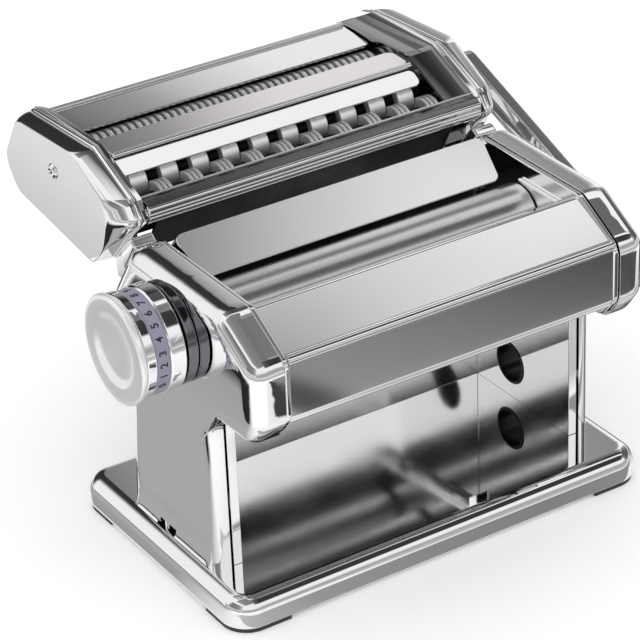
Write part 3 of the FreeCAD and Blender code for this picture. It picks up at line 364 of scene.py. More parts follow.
def inset(points, size):
    """A closed outline moved to its own inside, each point square to the line between its neighbours."""
    following = points[1:] + points[:1]
    area = sum(a[0] * b[1] - b[0] * a[1] for a, b in zip(points, following))
    sign = 1 if area > 0 else -1
    moved = []
    for i, point in enumerate(points):
        here = Vector(point)
        way = Vector(following[i]) - Vector(points[i - 1])
        way.normalize()
        moved.append((here.x - way.y * size * sign, here.y + way.x * size * sign))
    return moved


def between(first, second, part):
    """An outline part of the way from one outline to another."""
    return [(a[0] + (b[0] - a[0]) * part, a[1] + (b[1] - a[1]) * part) for a, b in zip(first, second)]


def circle(y, z, radius, count):
    """So many points round an X axis."""
    turns = [FULL_TURN * k / count for k in range(count)]
    return [(y + radius * math.cos(t), z + radius * math.sin(t)) for t in turns]


def ring_of(bm, x, outline):
    """New points at one X along a side-view outline."""
    return [bm.verts.new((x * MM, y * MM, z * MM)) for y, z in outline]


def mesh_of(bm):
    """The finished mesh, its faces turned outward."""
    bmesh.ops.recalc_face_normals(bm, faces=bm.faces)
    mesh = bpy.data.meshes.new("work")
    bm.to_mesh(mesh)
    bm.free()
    return mesh


def lofted(stations, hole=None):
    """Side-view outlines at their own X, skinned into a closed shell; the last may have a blind hole."""
    bm = bmesh.new()
    rings = [ring_of(bm, x, outline) for x, outline in stations]
    count = len(rings[0])
    for low, high in zip(rings, rings[1:]):
        for i in range(count):
            j = (i + 1) % count
            bm.faces.new((low[i], low[j], high[j], high[i]))
    bm.faces.new(rings[0])
    if not hole:
        bm.faces.new(rings[-1])
        return mesh_of(bm)
    y, z, radius, depth = hole
    sides = 48
    end_x = stations[-1][0]
    mouth = ring_of(bm, end_x, circle(y, z, radius, sides))
    floor_ring = ring_of(bm, end_x - depth, circle(y, z, radius, sides))
    edges = [bm.edges.get((rings[-1][i], rings[-1][(i + 1) % count])) for i in range(count)]
    edges += [bm.edges.new((mouth[k], mouth[(k + 1) % sides])) for k in range(sides)]
    bmesh.ops.bridge_loops(bm, edges=edges)
    for k in range(sides):
        m = (k + 1) % sides
        bm.faces.new((mouth[k], mouth[m], floor_ring[m], floor_ring[k]))
    bm.faces.new(floor_ring)
    return mesh_of(bm)


def turned(profile, y, z, segments=48):
    """A closed shape spun about an X axis at (y, z); the profile is (x, radius) from axis to axis."""
    bm = bmesh.new()
    rings = []
    for x, radius in profile:
        if radius <= 0:
            rings.append(ring_of(bm, x, [(y, z)]) * segments)
        else:
            rings.append(ring_of(bm, x, circle(y, z, radius, segments)))
    for low, high in zip(rings, rings[1:]):
        for k in range(segments):
            m = (k + 1) % segments
            corners = list(dict.fromkeys((low[k], low[m], high[m], high[k])))
            if len(corners) > 2:
                bm.faces.new(corners)
    return mesh_of(bm)


def bar_along(outline, x0, x1):
    """A closed side-view outline drawn out along X."""
    return lofted([(x0, outline), (x1, outline)])


def round_bar(y, z, radius, x0, x1):
    """A straight bead along X with softened ends."""
    soft = min(radius * 0.5, 0.4)
    small = radius - soft
    profile = [(x0, 0), (x0, small), (x0 + soft, radius), (x1 - soft, radius), (x1, small), (x1, 0)]
    return turned(profile, y, z, 16)


def sheet(path, thick, x0, x1):
    """A bent side-view strip of even thickness, drawn out along X."""
    moved = []
    for i, point in enumerate(path):
        here = Vector(point)
        before = (here - Vector(path[i - 1])).normalized() if i else (Vector(path[1]) - here).normalized()
        after = (Vector(path[i + 1]) - here).normalized() if i < len(path) - 1 else before
        bend = Vector((-before.y - after.y, before.x + after.x))
        bend *= thick / max(0.4, 1.0 + before.dot(after))
        moved.append((here.x + bend.x, here.y + bend.y))
    return bar_along(list(path) + moved[::-1], x0, x1)


def corner_cut(mesh, x_end, size):
    """Rounds the corners of a sheet's edge at one end."""
    same_place, thinnest, thickest = 1e-6, 0.9 * MM, 1.6 * MM
    bm = bmesh.new()
    bm.from_mesh(mesh)
    end_edges = [e for e in bm.edges if all(abs(v.co.x - x_end * MM) < same_place for v in e.verts)]
    picked = [e for e in end_edges if thinnest < e.calc_length() < thickest]
    bmesh.ops.bevel(bm, geom=picked, offset=size * MM, segments=6, affect="EDGES", profile=0.5)
    return mesh_of(bm)


def pierced(outline, holes, radius, x0, x1):
    """A side-view plate with round holes, from one X to another."""
    sides = 40
    bm = bmesh.new()
    for ring in [outline] + [circle(y, z, radius, sides) for y, z in holes]:
        verts = ring_of(bm, x0, ring)
        for a, b in zip(verts, verts[1:] + verts[:1]):
            bm.edges.new((a, b))
    bmesh.ops.triangle_fill(bm, use_beauty=True, edges=bm.edges[:])
    moved = bmesh.ops.extrude_face_region(bm, geom=bm.faces[:])["geom"]
    for v in moved:
        if isinstance(v, bmesh.types.BMVert):
            v.co.x = x1 * MM
    return mesh_of(bm)


def joined(meshes):
    """Several meshes as one."""
    bm = bmesh.new()
    for mesh in meshes:
        bm.from_mesh(mesh)
    result = bpy.data.meshes.new("work")
    bm.to_mesh(result)
    bm.free()
    return result


def added(mesh, name, body, material, width=0.0, segments=2, replaced=()):
    """A piece made here, with its edges broken, on its body."""
    return piece_from(worked(mesh, width * MM, segments), name, body, material, replaced)


def on_head(mesh, name, material, width=0.0, segments=2, replaced=()):
    """A piece made here that rides on the cutter head."""
    return added(mesh, name, "cutter_head", material, width, segments, replaced)


# Rows of discs along a shaft

def disc_row_tree():
    """Discs in a row along X: how many, how far apart, how wide and how large are its inputs."""
    tree = bpy.data.node_groups.new("disc_row", "GeometryNodeTree")
    face = tree.interface
    face.new_socket("Geometry", in_out="INPUT", socket_type="NodeSocketGeometry")
    face.new_socket("Count", in_out="INPUT", socket_type="NodeSocketInt")
    for label in ("First", "Pitch", "Radius", "Width"):
        face.new_socket(label, in_out="INPUT", socket_type="NodeSocketFloat")
    face.new_socket("Finish", in_out="INPUT", socket_type="NodeSocketMaterial")
    face.new_socket("Geometry", in_out="OUTPUT", socket_type="NodeSocketGeometry")
    make = tree.nodes.new
    given = make("NodeGroupInput")
    result = make("NodeGroupOutput")
    line = make("GeometryNodeMeshLine")
    start = make("ShaderNodeCombineXYZ")
    step = make("ShaderNodeCombineXYZ")
    disc = make("GeometryNodeMeshCylinder")
    lay = make("GeometryNodeTransform")
    place = make("GeometryNodeInstanceOnPoints")
    real = make("GeometryNodeRealizeInstances")
    dress = make("GeometryNodeSetMaterial")
    disc.inputs["Vertices"].default_value = 36
    lay.inputs["Rotation"].default_value = (0, math.pi / 2, 0)
    for source, given_as, target, taken_as in (
            (given, "Count", line, "Count"),
            (given, "First", start, "X"),
            (start, "Vector", line, "Start Location"),
            (given, "Pitch", step, "X"),
            (step, "Vector", line, "Offset"),
            (given, "Radius", disc, "Radius"),
            (given, "Width", disc, "Depth"),
            (disc, "Mesh", lay, "Geometry"),
            (line, "Mesh", place, "Points"),
            (lay, "Geometry", place, "Instance"),
            (place, "Instances", real, "Geometry"),
            (real, "Geometry", dress, "Geometry"),
            (given, "Finish", dress, "Material"),
            (dress, "Geometry", result, "Geometry")):
        tree.links.new(source.outputs[given_as], target.inputs[taken_as])
    return tree


disc_row = disc_row_tree()
socket_of = {item.name: item.identifier for item in disc_row.interface.items_tree if item.in_out == "INPUT"}


def discs(count, first, pitch, radius, width, finish, axis):
    """One row of discs as a plain mesh on its shaft's axis."""
    holder = bpy.data.objects.new("row", bpy.data.meshes.new("row"))
    row = holder.modifiers.new("row", "NODES")
    row.node_group = disc_row
    row[socket_of["Count"]] = count
    row[socket_of["Finish"]] = finish
    for label, size in (("First", first), ("Pitch", pitch), ("Radius", radius), ("Width", width)):
        row[socket_of[label]] = size * MM
    scene.collection.objects.link(holder)
    mesh = evaluated_mesh(holder)
    mesh.transform(Matrix.Translation((0, axis[0] * MM, axis[1] * MM)))
    return mesh


# Solids with broken edges

for node, finish, width in (
        ("base_tray", mirror_chrome, 0.3),
        ("left_end_cheek", mirror_chrome, 0.4),
        ("right_end_cheek", mirror_chrome, 0.4),
        ("left_guide", mirror_chrome, 0.4),
        ("right_guide", mirror_chrome, 0.4),
        ("dial_ring", mirror_chrome, 0.25),
        ("crank_arm", mirror_chrome, 0.6),
        ("rear_panel", panel_chrome, 0.3),
        ("base_feet", foot_rubber, 0.4),
        # The clamp sleeve is painted near black as the shade inside the clamp hole.
        ("clamp_sleeve", hollow_shade_black, 0.4),
        ("dial_flange", dark_chrome, 0.6),
        ("dial_scale", scale_plastic, 0.1),
        ("crank_grip", grip_plastic, 0.5),
        # Scrapers and combs are painted near black as the shade under the rollers and cutters.
        ("front_scraper", comb_shade_dark, 0.2),
        ("rear_scraper", comb_shade_dark, 0.2),
        ("tie_rods", drawn_steel, 0.3),
        ("fine_combs", comb_shade_dark, 0.2),
        ("wide_combs", comb_shade_dark, 0.2),
        ("crank_shank", drawn_steel, 0.3),
        ("crank_pin", drawn_steel, 0.3),
        ("front_roller", roller_satin, 0.6),
        ("rear_roller", roller_satin, 0.6),
        ("cutter_pins", drawn_steel, 0.3),
        ("dial_spindle", drawn_steel, 0.2),
        ("dial_sleeve", drawn_steel, 0.2),
        ("front_bushes", nylon, 0.2),
        ("rear_sliders", nylon, 0.2),
        ("cutter_bushes", nylon, 0.2)):
    dressed(node, finish, width, 3)

shell_flat_angle, shell_cell, shell_reach = 4.0, 4.5, 3.6
for node in ("left_side_shell", "right_side_shell"):
    shell = eased(merged_copy(node, shell_flat_angle), shell_cell * MM, shell_reach * MM)
    piece_from(shell, node + "_finished", "frame", mirror_chrome, (node,))


def shade_painted_inside(node, finish, inward):
    """A sheet plated outside, with its inner side painted black as shade; inward is the way that side
    faces.
    """
    facing = 0.3
    obj = dressed(node, finish, 0.3, 3)
    obj.data.materials.append(painted_shade_black)
    for face in obj.data.polygons:
        if face.normal.dot(Vector(inward)) > facing:
            face.material_index = 1


# Painted shade: the rear cover's inner side and the leg plates' undersides are painted black.
shade_painted_inside("rear_cover", sheet_chrome, (0, -0.6, -0.8))
for node in ("left_leg_plate", "right_leg_plate"):
    shade_painted_inside(node, mirror_chrome, (0, 0, -1))
for node in ("left_frame_plate", "right_frame_plate", "left_cutter_plate", "right_cutter_plate"):
    dressed(node, mirror_chrome, 1.0, 5)
for carrier in ("front_roller", "rear_roller", "fine_front", "fine_rear", "wide_front", "wide_rear"):
    dressed(carrier + "_gear", drawn_steel, 0.15, 1)

# Front apron, with a satin slope and a satin front

apron = dressed("front_apron", mirror_chrome, 0.7, 4)
apron.data.materials.append(plate_satin)
apron.data.materials.append(fascia_satin)
smallest_panel = 2e-4
for face in apron.data.polygons:
    if face.area <= smallest_panel:
        continue
    if face.normal.y < -0.40 and face.normal.z > 0.86:
        face.material_index = 1
    elif face.normal.y < -0.999:
        face.material_index = 2

# Hopper plate, run on at its dial end to the frame plate behind the cap

hopper_left, dial_end = -77.6, -60.0
hopper_mesh = merged_copy("rear_hopper_plate")
hopper_end = min(v.co.x for v in hopper_mesh.vertices)
for v in hopper_mesh.vertices:
    if v.co.x < dial_end * MM:
        v.co.x += hopper_left * MM - hopper_end
added(hopper_mesh, "rear_hopper_plate_finished", "frame", plate_satin,
      0.4, 3, ("rear_hopper_plate",))

# Dished face of the dial

dial_axis = (-13.0, 116.5)
dial_dish = [(-119.1, 0), (-119.1, 22.6), (-119.7, 23.15), (-120.9, 23.15), (-121.5, 22.8), (-121.8, 22.1),
             (-121.88, 21.0), (-121.8, 16.6), (-121.55, 15.4), (-121.0, 14.2), (-120.5, 13.0),
             (-120.2, 11.0), (-120.05, 7.0), (-120.0, 0)]
added(turned(dial_dish, *dial_axis, 96), "dial_face_finished", body_of_node["dial_face"],
      face_silver, replaced=("dial_face",))

# Axes of the four cutters

fine_front, fine_rear = (79.0, 140.0), (91.24, 146.37)
wide_front, wide_rear = (45.0, 141.0), (57.24, 147.37)

# Caps of the cutter head, pressed with a rolled rim and a rounded face

left_cap_x, right_cap_x = -80.5, 89.0
rim_depth, slope_depth, cap_depth = 2.5, 8.5, 11.0
slope_steps, slope_power = 12, 1.2
arc_steps = 10
rim_corners = [(121.7, 159.9), (66.0, 163.0), (36.0, 150.2), (29.5, 141.5), (40.0, 132.0), (56.0, 114.5),
               (126.0, 123.0), (135.0, 136.0)]
face_corners = [(117.5, 158.0), (69.0, 161.0), (45.5, 147.5), (43.5, 140.0), (47.5, 124.0), (57.5, 115.5),
                (122.0, 123.5), (132.0, 135.5)]
cap_rim = rounded(rim_corners, (6, 9, 9, 4, 9, 6, 8, 8), arc_steps)
cap_face = rounded(face_corners, (9, 16, 12, 8, 22, 6, 9, 10), arc_steps)
rim_roll = ((0.05, 1.0), (0.2, 0.45), (0.6, 0.1), (1.0, 0.0), (1.5, 0.1), (1.9, 0.45), (2.1, 0.9),
            (2.3, 0.95), (rim_depth, 0.75))
cap_steps = [(x, inset(cap_rim, size) if size else cap_rim) for x, size in rim_roll]
for k in range(1, slope_steps + 1):
    turn = math.radians(90.0 * k / slope_steps)
    part = 1.0 - math.cos(turn) ** slope_power
    slope_x = rim_depth + slope_depth * math.sin(turn) ** slope_power
    cap_steps.append((slope_x, between(inset(cap_rim, 0.6), cap_face, part)))
cap_steps += [(cap_depth, inset(cap_face, size)) for size in (0.5, 2.5)]
left_cap = lofted([(left_cap_x - x, outline) for x, outline in cap_steps])
right_cap = lofted([(right_cap_x + x, outline) for x, outline in cap_steps], (*fine_front, 6.6, 1.4))
for node, cap in (("left_cutter_cap", left_cap), ("right_cutter_cap", right_cap)):
    piece_from(pressed(cap), node + "_finished", "cutter_head", mirror_chrome, (node,))

screw_profile = ((0.0, 0), (0.0, 3.5), (0.35, 3.5), (0.9, 3.0), (1.2, 2.3), (1.25, 1.75), (0.3, 1.6),
                 (0.3, 0))
socket_profile = ((0.25, 0), (0.25, 1.55), (0.42, 1.55), (0.42, 0))
screw_places = ((left_cap_x - cap_depth, -1, 87.0, 146.0), (right_cap_x + cap_depth, 1, 104.0, 143.0))
cap_screws = []
socket_floors = []
for face_x, way, y, z in screw_places:
    cap_screws.append(turned([(face_x + x * way, radius) for x, radius in screw_profile], y, z, 32))
    socket_floors.append(turned([(face_x + x * way, radius) for x, radius in socket_profile], y, z, 6))
on_head(joined(cap_screws), "cap_screws_finished", mirror_chrome, replaced=("cap_screws",))
# Discs at the bottom of the screw sockets, painted black as the shade in the recesses.
on_head(joined(socket_floors), "cap_screw_sockets", hollow_shade_black)

# Sheets of the cutter head with their rolled beads

head_left, head_right = -78.0, 86.5
ridge_right, cover_right, case_left, case_right = 69.5, 71.6, 72.4, 73.4
shade_fill_right = 72.3
sheet_thick = 1.2

ridge_top = sheet([(73.4, 161.4), (59.0, 161.0)], sheet_thick, head_left, ridge_right)
ridge_slope = sheet([(57.3, 158.7), (49.8, 154.4)], sheet_thick, head_left, ridge_right)
ridge_core = [(71.7, 160.9), (59.2, 160.7), (58.2, 158.9), (58.2, 157.2), (59.4, 157.2), (71.7, 158.6)]
on_head(corner_cut(ridge_top, ridge_right, 3.5), "cutter_ridge_top", ridge_chrome, 0.25,
        replaced=("cutter_ridge",))
# The bar under the ridge is painted near black as shade.
on_head(bar_along(ridge_core, head_left, shade_fill_right), "cutter_ridge_bar", comb_shade_dark, 0.25)
on_head(corner_cut(ridge_slope, ridge_right, 3.0), "cutter_ridge_slope", mirror_chrome, 0.25)
on_head(round_bar(58.2, 160.3, 1.25, head_left, ridge_right), "cutter_ridge_bead", mirror_chrome)

cover_path = [(126.0, 123.8), (132.5, 136.8), (117.0, 157.6), (113.5, 158.6), (92.8, 157.5)]
# A thin sheet inside the rear cover, painted black as shade.
shade_sheet_path = [(93.4, 156.2), (113.2, 157.2), (116.2, 156.2), (130.8, 136.6), (125.0, 125.0)]
cover = corner_cut(sheet(cover_path, sheet_thick, head_left, cover_right), cover_right, 2.5)
on_head(cover, "rear_cover_sheet", sheet_chrome, 0.3, replaced=("cutter_rear_cover",))
on_head(sheet(shade_sheet_path, -0.4, head_left, shade_fill_right), "rear_cover_painted_shade", painted_shade_black)
on_head(round_bar(115.0, 159.1, 1.1, head_left, cover_right), "rear_cover_beads", mirror_chrome)

comb_plate = sheet([(38.2, 149.05), (33.0, 149.6), (30.4, 148.0)], sheet_thick, head_left, head_right)
rail_beads = [round_bar(y, z, radius, head_left, head_right)
              for y, z, radius in ((31.5, 146.2, 1.85), (30.9, 142.7, 1.2), (38.1, 149.2, 0.5))]
rail_face = sheet([(30.2, 145.0), (30.0, 141.6), (33.0, 139.2)], sheet_thick, head_left, head_right)
rail_skirt = sheet([(32.2, 140.1), (42.6, 122.4)], sheet_thick, -73.6, 73.6)
# The comb plate is in chrome tinted dark as painted shade.
on_head(comb_plate, "front_rail_comb_plate", comb_plate_shade_chrome, 0.4, 3, ("cutter_front_rail",))
on_head(joined(rail_beads + [rail_face]), "front_rail_beads", mirror_chrome)
# The skirt under the front rail is painted black as shade.
on_head(rail_skirt, "front_rail_skirt", painted_shade_black, 0.3)

# Case over the cutter gears: an inner wall with a hole for each shaft, and a roof under the caps' rim, both
# in chrome tinted dark as painted shade

case_line = inset(cap_rim, 1.5)
roof_start, roof_end = 7 * (arc_steps + 1), 30
case_wall = pierced(case_line, (fine_front, fine_rear, wide_front, wide_rear), 6.4, case_left, case_right)
case_roof = sheet(case_line[roof_start:] + case_line[:roof_end], 0.8, case_right, head_right)
piece_from(case_wall, "gear_case_wall", "cutter_head", case_shade_chrome)
on_head(case_roof, "gear_case_roof", case_shade_chrome)

# Hooks behind the side caps, one at each end of the cutter head

hook_line = [(22.5, 136.5), (26.5, 139.2), (29.2, 137.4), (35.5, 130.0), (33.0, 121.0)]
for name, x0, x1 in (("left_rest_hook", -90.0, -79.0), ("right_rest_hook", 79.0, 90.0)):
    added(bar_along(hook_line, x0, x1), name, "frame", mirror_chrome, 1.2, 4)

# Cutters: a core on each shaft, painted near black as the shade between the discs, and discs along it

core_left, core_right, journal = -75.0, 84.3, 3.5
shaft_start = [(-82.0, 0), (-82.0, 3.1), (-81.6, journal), (core_left, journal)]
plain_end = [(92.0, journal), (92.4, 3.1), (92.4, 0)]
socket_end = [(92.4, journal), (92.4, 6.0), (102.1, 6.0), (102.5, 5.6), (102.5, 4.1), (93.5, 4.1),
              (93.5, 0)]
for name, axis, core, shaft_end in (
        ("fine_front", fine_front, 4.8, socket_end),
        ("fine_rear", fine_rear, 4.9, plain_end),
        ("wide_front", wide_front, 5.1, plain_end),
        ("wide_rear", wide_rear, 4.3, plain_end)):
    core_line = [(core_left, core), (core_right, core), (core_right, journal)]
    added(turned(shaft_start + core_line + shaft_end, *axis), name + "_cutter_core", name,
          core_shade_black, replaced=(name + "_cutter",))

fine_count, fine_pitch = 42, 3.46
wide_count, wide_pitch = 10, 14.7
for name, axis, first in (("fine_front", fine_front, -74.1), ("fine_rear", fine_rear, -72.37)):
    ribs = discs(fine_count, first, fine_pitch, 8.5, 1.9, rib_satin, axis)
    piece_from(worked(ribs, 0.2 * MM, 1), name + "_ribs", name)
wide_discs = discs(wide_count, -71.325, wide_pitch, 8.2, 7.9, rib_satin, wide_rear)
piece_from(worked(wide_discs, 0.3 * MM, 2), "wide_rear_discs", "wide_rear")
# The ribs of the front wide cutter take the darker copy of the rib finish as painted shade.
for k in range(3):
    ribs = discs(wide_count, -66.2 + 2.2 * k, wide_pitch, 9.2, 1.7, rib_shaded_grey, wide_front)
    piece_from(worked(ribs, 0.2 * MM, 1), "wide_front_ribs_" + str(k + 1), "wide_front")

# Numbers on the dial's scale

digit_x, digit_ring, scale_ring = -111.0, 21.75, 21.7


def scale_digit(text, angle):
    """One numeral wrapped round the scale band, its top towards the dial's face."""
    curve = bpy.data.curves.new("digit", "FONT")
    curve.body = text
    curve.align_x = "CENTER"
    curve.align_y = "CENTER"
    curve.size = 4.6 * MM
    curve.offset = 0.07 * MM
    curve.extrude = 0.04 * MM
    obj = bpy.data.objects.new("digit", curve)
    scene.collection.objects.link(obj)
    mesh = evaluated_mesh(obj)
    for v in mesh.vertices:
        radius = digit_ring * MM + v.co.z
        t = math.radians(angle) - v.co.x / (scale_ring * MM)
        y = dial_axis[0] * MM + radius * math.cos(t)
        z = dial_axis[1] * MM + radius * math.sin(t)
        v.co = (digit_x * MM - v.co.y, y, z)
    return mesh


digits = (("9", 78), ("8", 93), ("7", 107.5), ("6", 122.5), ("5", 137.3), ("4", 152.3), ("3", 167.5),
          ("2", 181), ("1", 194.5), ("0", 209))
digit_meshes = [scale_digit(text, angle) for text, angle in digits]
piece_from(joined(digit_meshes), "dial_digits", "dial", digit_ink)


# Stage: cards that only gloss sees, with their greys by distance in metres

def lit_card(name, corners, along, stops, across, fade):
    """A card with greys at distances along one way, easing to white at the two edges of the other."""
    bm = bmesh.new()
    bm.faces.new([bm.verts.new(c) for c in corners])
    mesh = bpy.data.meshes.new(name)
    bm.to_mesh(mesh)
    bm.free()
    card = bpy.data.objects.new(name, mesh)
    scene.collection.objects.link(card)
    f = Finish(name)
    low, high = stops[0][0], stops[-1][0]
    tones = [((at - low) / (high - low), tone) for at, tone in stops]
    grey = f.ramp(f.span(f.measured("DOT_PRODUCT", along), 0, 1, low, high), *tones)
    reach = [Vector(across).dot(Vector(c)) for c in corners]
    near, far = min(reach), max(reach)
    first, last = (size / (far - near) for size in fade)
    edge = f.ramp(f.span(f.measured("DOT_PRODUCT", across), 0, 1, near, far), (0.0, 1.0 if first else 0.0),
                  (first, 0.0), (1.0 - last, 0.0), (1.0, 1.0 if last else 0.0))
    glow = f.tree.nodes.new("ShaderNodeEmission")
    f.link(colour_mix(f.tree, edge, grey, WHITE), glow.inputs["Color"])
    f.link(glow.outputs["Emission"], f.tree.nodes["Material Output"].inputs["Surface"])
    mesh.materials.append(f.material)
    card.visible_camera = False
    card.visible_diffuse = False
    card.visible_shadow = False
    card.visible_transmission = False


def flat_card(name, x0, x1, y0, y1, z, stops, fade):
    """A level card with its greys along X."""
    corners = [(x0, y0, z), (x1, y0, z), (x1, y1, z), (x0, y1, z)]
    lit_card(name, corners, (1, 0, 0), stops, (0, 1, 0), fade)


card_top, over_floor = 1.5, 0.0012
lit_card("card_back", [(-1.6, 0.95, 0.0), (2.2, 0.95, 0.0), (2.2, 0.95, card_top), (-1.6, 0.95, card_top)],
         (1, 0, -0.42),
         [(-0.95, 0.95), (-0.75, 0.9), (-0.58, 0.25), (-0.45, 0.04), (0.03, 0.03), (0.06, 0.08),
          (0.09, 0.22), (0.15, 0.38), (0.2, 0.7), (0.27, 1.0), (0.385, 1.0), (0.415, 0.38), (0.55, 0.28),
          (0.7, 0.5), (0.9, 1.0)], (0, 0, 1), (0.1, 0.0))
flat_card("card_over_rear", -0.6, 1.7, 0.2, 0.95, card_top,
          [(-0.6, 0.3), (0.0, 0.12), (0.4, 0.06), (1.0, 0.14), (1.5, 0.3)], (0.12, 0.0))
flat_card("card_over_left", -1.2, 0.5, -1.3, 0.19, 1.53,
          [(-1.2, 1.0), (-0.9, 0.3), (-0.4, 0.24), (0.3, 0.22), (0.5, 0.2)], (0.25, 0.05))
flat_card("card_over_apron", 0.5, 1.2, -0.09, 0.035, card_top,
          [(0.55, 0.25), (0.62, 0.36), (0.7, 0.64), (0.8, 0.8), (0.96, 1.0)], (0.0, 0.012))
flat_card("card_over_slant", 0.2, 1.8, -0.172, -0.09, card_top,
          [(0.2, 0.2), (0.5, 0.18), (0.62, 0.21), (0.7, 0.6), (0.86, 0.85), (0.93, 0.15), (1.06, 0.13),
           (1.5, 0.2)], (0.0, 0.0))
flat_card("card_over_hopper", 0.2, 1.5, -0.42, -0.165, 1.501,
          [(0.2, 0.2), (0.5, 0.18), (0.59, 0.3), (0.66, 0.56), (0.75, 0.7), (0.84, 0.95), (0.92, 1.0)],
          (0.0, 0.0))
flat_card("card_over_front", 0.1, 1.9, -1.8, -0.42, card_top,
          [(0.3, 0.1), (0.6, 0.04), (1.3, 0.04), (1.7, 0.1)], (0.3, 0.0))
flat_card("card_front_floor", -0.08, 0.4, -0.42, -0.15, 0.0015,
          [(-0.08, 1.0), (-0.014, 0.9), (-0.004, 0.05), (0.014, 0.06), (0.026, 0.31), (0.11, 0.21),
           (0.16, 0.14), (0.22, 0.08), (0.32, 0.12), (0.4, 1.0)], (0.05, 0.02))
flat_card("card_front_near", -0.06, 0.32, -0.148, -0.085, over_floor,
          [(-0.04, 1.0), (0.02, 0.5), (0.09, 0.5), (0.16, 0.6), (0.24, 0.4), (0.31, 1.0)], (0.01, 0.015))
flat_card("card_tray_foot", -0.12, 0.3, -0.084, -0.0665, over_floor,
          [(-0.12, 0.6), (-0.06, 0.33), (0.0, 0.27), (0.06, 0.24), (0.2, 0.4)], (0.003, 0.0))
flat_card("card_left_floor", -0.5, -0.1045, -0.06, 0.25, over_floor,
          [(-0.5, 1.0), (-0.36, 0.9), (-0.3, 0.03), (-0.197, 0.02), (-0.19, 0.38), (-0.164, 0.43),
           (-0.115, 0.43), (-0.1045, 0.34)], (0.05, 0.03))
flat_card("card_left_rear", -0.42, -0.15, 0.255, 0.52, over_floor,
          [(-0.42, 1.0), (-0.3, 0.86), (-0.23, 0.8), (-0.2, 0.68), (-0.15, 0.6)], (0.0, 0.1))
lit_card("card_left",
         [(-1.5, -1.2, 0.25), (-1.5, 0.5, 0.25), (-1.5, 0.5, card_top), (-1.5, -1.2, card_top)], (0, 1, 0),
         [(-1.2, 0.6), (-0.6, 0.26), (0.2, 0.2), (0.5, 0.6)], (0, 0, 1), (0.2, 0.0))
lit_card("card_right",
         [(1.8, -1.0, 0.15), (1.8, 0.95, 0.15), (1.8, 0.95, card_top), (1.8, -1.0, card_top)], (0, 1, 0),
         [(-1.0, 0.3), (-0.5, 0.12), (0.2, 0.1), (0.6, 0.2), (0.95, 0.5)], (0, 0, 1), (0.15, 0.0))
flat_card("card_right_floor", 0.11, 0.7, -0.07, 0.14, over_floor,
          [(0.11, 0.2), (0.2, 0.1), (0.4, 0.15), (0.7, 1.0)], (0.04, 0.04))
flat_card("card_rear_floor", -0.1, 0.7, 0.15, 0.7, over_floor,
          [(-0.1, 0.14), (0.1, 0.16), (0.3, 0.25), (0.7, 1.0)], (0.08, 0.08))

# Floor, nearly white, and greyer with distance to gloss alone

floor_radius, floor_glow, ring_reach = 6.0, 0.15, 4.0
floor_mesh = bpy.data.meshes.new("floor")
floor_shape = bmesh.new()
bmesh.ops.create_circle(floor_shape, cap_ends=True, segments=96, radius=floor_radius)
floor_shape.to_mesh(floor_mesh)
floor_shape.free()
floor = bpy.data.objects.new("floor", floor_mesh)
scene.collection.objects.link(floor)
pale_floor = Finish("pale_floor").set(Roughness=1.0, Specular_IOR_Level=0.0, Emission_Color=WHITE)
pale = pale_floor.ramp(pale_floor.noise(3, 2), (0.3, 0.985), (0.7, 0.99))
rays = pale_floor.tree.nodes.new("ShaderNodeLightPath").outputs
away = pale_floor.span(pale_floor.measured("LENGTH"), 0.0, 1.0, 0.0, ring_reach)
rings = pale_floor.ramp(away, (0.12, 0.99), (0.17, 0.4), (0.3, 0.3), (0.6, 0.7))
pale_floor.link(colour_mix(pale_floor.tree, rays["Is Glossy Ray"], pale, rings), "Base Color")
straight = pale_floor.mixed("MAXIMUM", rays["Is Camera Ray"], rays["Is Glossy Ray"])
plain = pale_floor.mixed("MAXIMUM", straight, rays["Is Transmission Ray"])
pale_floor.link(pale_floor.span(plain, 0.0, floor_glow, 0.0, 1.0), "Emission Strength")
floor_mesh.materials.append(pale_floor.material)

# Sky, white, with a grey band near the horizon to gloss alone

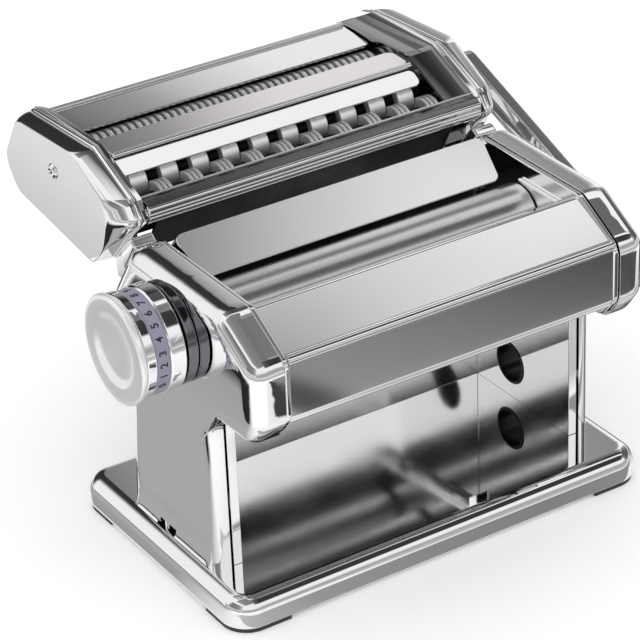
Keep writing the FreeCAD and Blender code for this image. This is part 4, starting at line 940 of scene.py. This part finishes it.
world = bpy.data.worlds.new("studio")
scene.world = world
world.use_nodes = True
make = world.node_tree.nodes.new
link = world.node_tree.links.new
sky = world.node_tree.nodes["Background"]
sky.inputs["Strength"].default_value = 1.0
split = make("ShaderNodeSeparateXYZ")
band = make("ShaderNodeValToRGB")
link(make("ShaderNodeTexCoord").outputs["Generated"], split.inputs["Vector"])
link(split.outputs["Z"], band.inputs["Fac"])
for at, tone in ((0.12, 0.35), (0.22, 0.45), (0.36, 0.95)):
    band.color_ramp.elements.new(at).color = (tone, tone, tone, 1)
band.color_ramp.elements[0].color = (0.6, 0.6, 0.6, 1)
sky_gloss = make("ShaderNodeLightPath").outputs["Is Glossy Ray"]
link(colour_mix(world.node_tree, sky_gloss, WHITE, band.outputs["Color"]), sky.inputs["Color"])

# Key lamp, soft and unseen in the gloss

lamp_place, lamp_target = Vector((-0.9, -0.9, 1.5)), Vector((0, 0, 0.08))
lamp = bpy.data.lights.new("key", "AREA")
lamp.shape = "DISK"
lamp.size = 1.0
lamp.energy = 1.5
key = bpy.data.objects.new("key", lamp)
key.location = lamp_place
key.rotation_euler = (lamp_target - lamp_place).to_track_quat("-Z", "Y").to_euler()
key.visible_glossy = False
key.visible_camera = False
scene.collection.objects.link(key)

# Camera

camera_place = (-0.5828, -0.9111, 0.6887)
azimuth, height, roll = math.radians(-31.8), math.radians(29.2), math.radians(-2.4)
level = math.cos(height)
out = Vector((math.sin(azimuth) * level, -math.cos(azimuth) * level, math.sin(height)))
side = Vector((math.cos(azimuth), math.sin(azimuth), 0))
up = out.cross(side)
right = side * math.cos(roll) + up * math.sin(roll)
over = up * math.cos(roll) - side * math.sin(roll)
lens = bpy.data.cameras.new("camera")
lens.lens = 166.5
lens.clip_end = 30
camera = bpy.data.objects.new("camera", lens)
rows = [(right[i], over[i], out[i], camera_place[i]) for i in range(3)]
camera.matrix_world = Matrix(rows + [(0, 0, 0, 1)])
scene.collection.objects.link(camera)
scene.camera = camera
scene.view_settings.view_transform = "Standard"
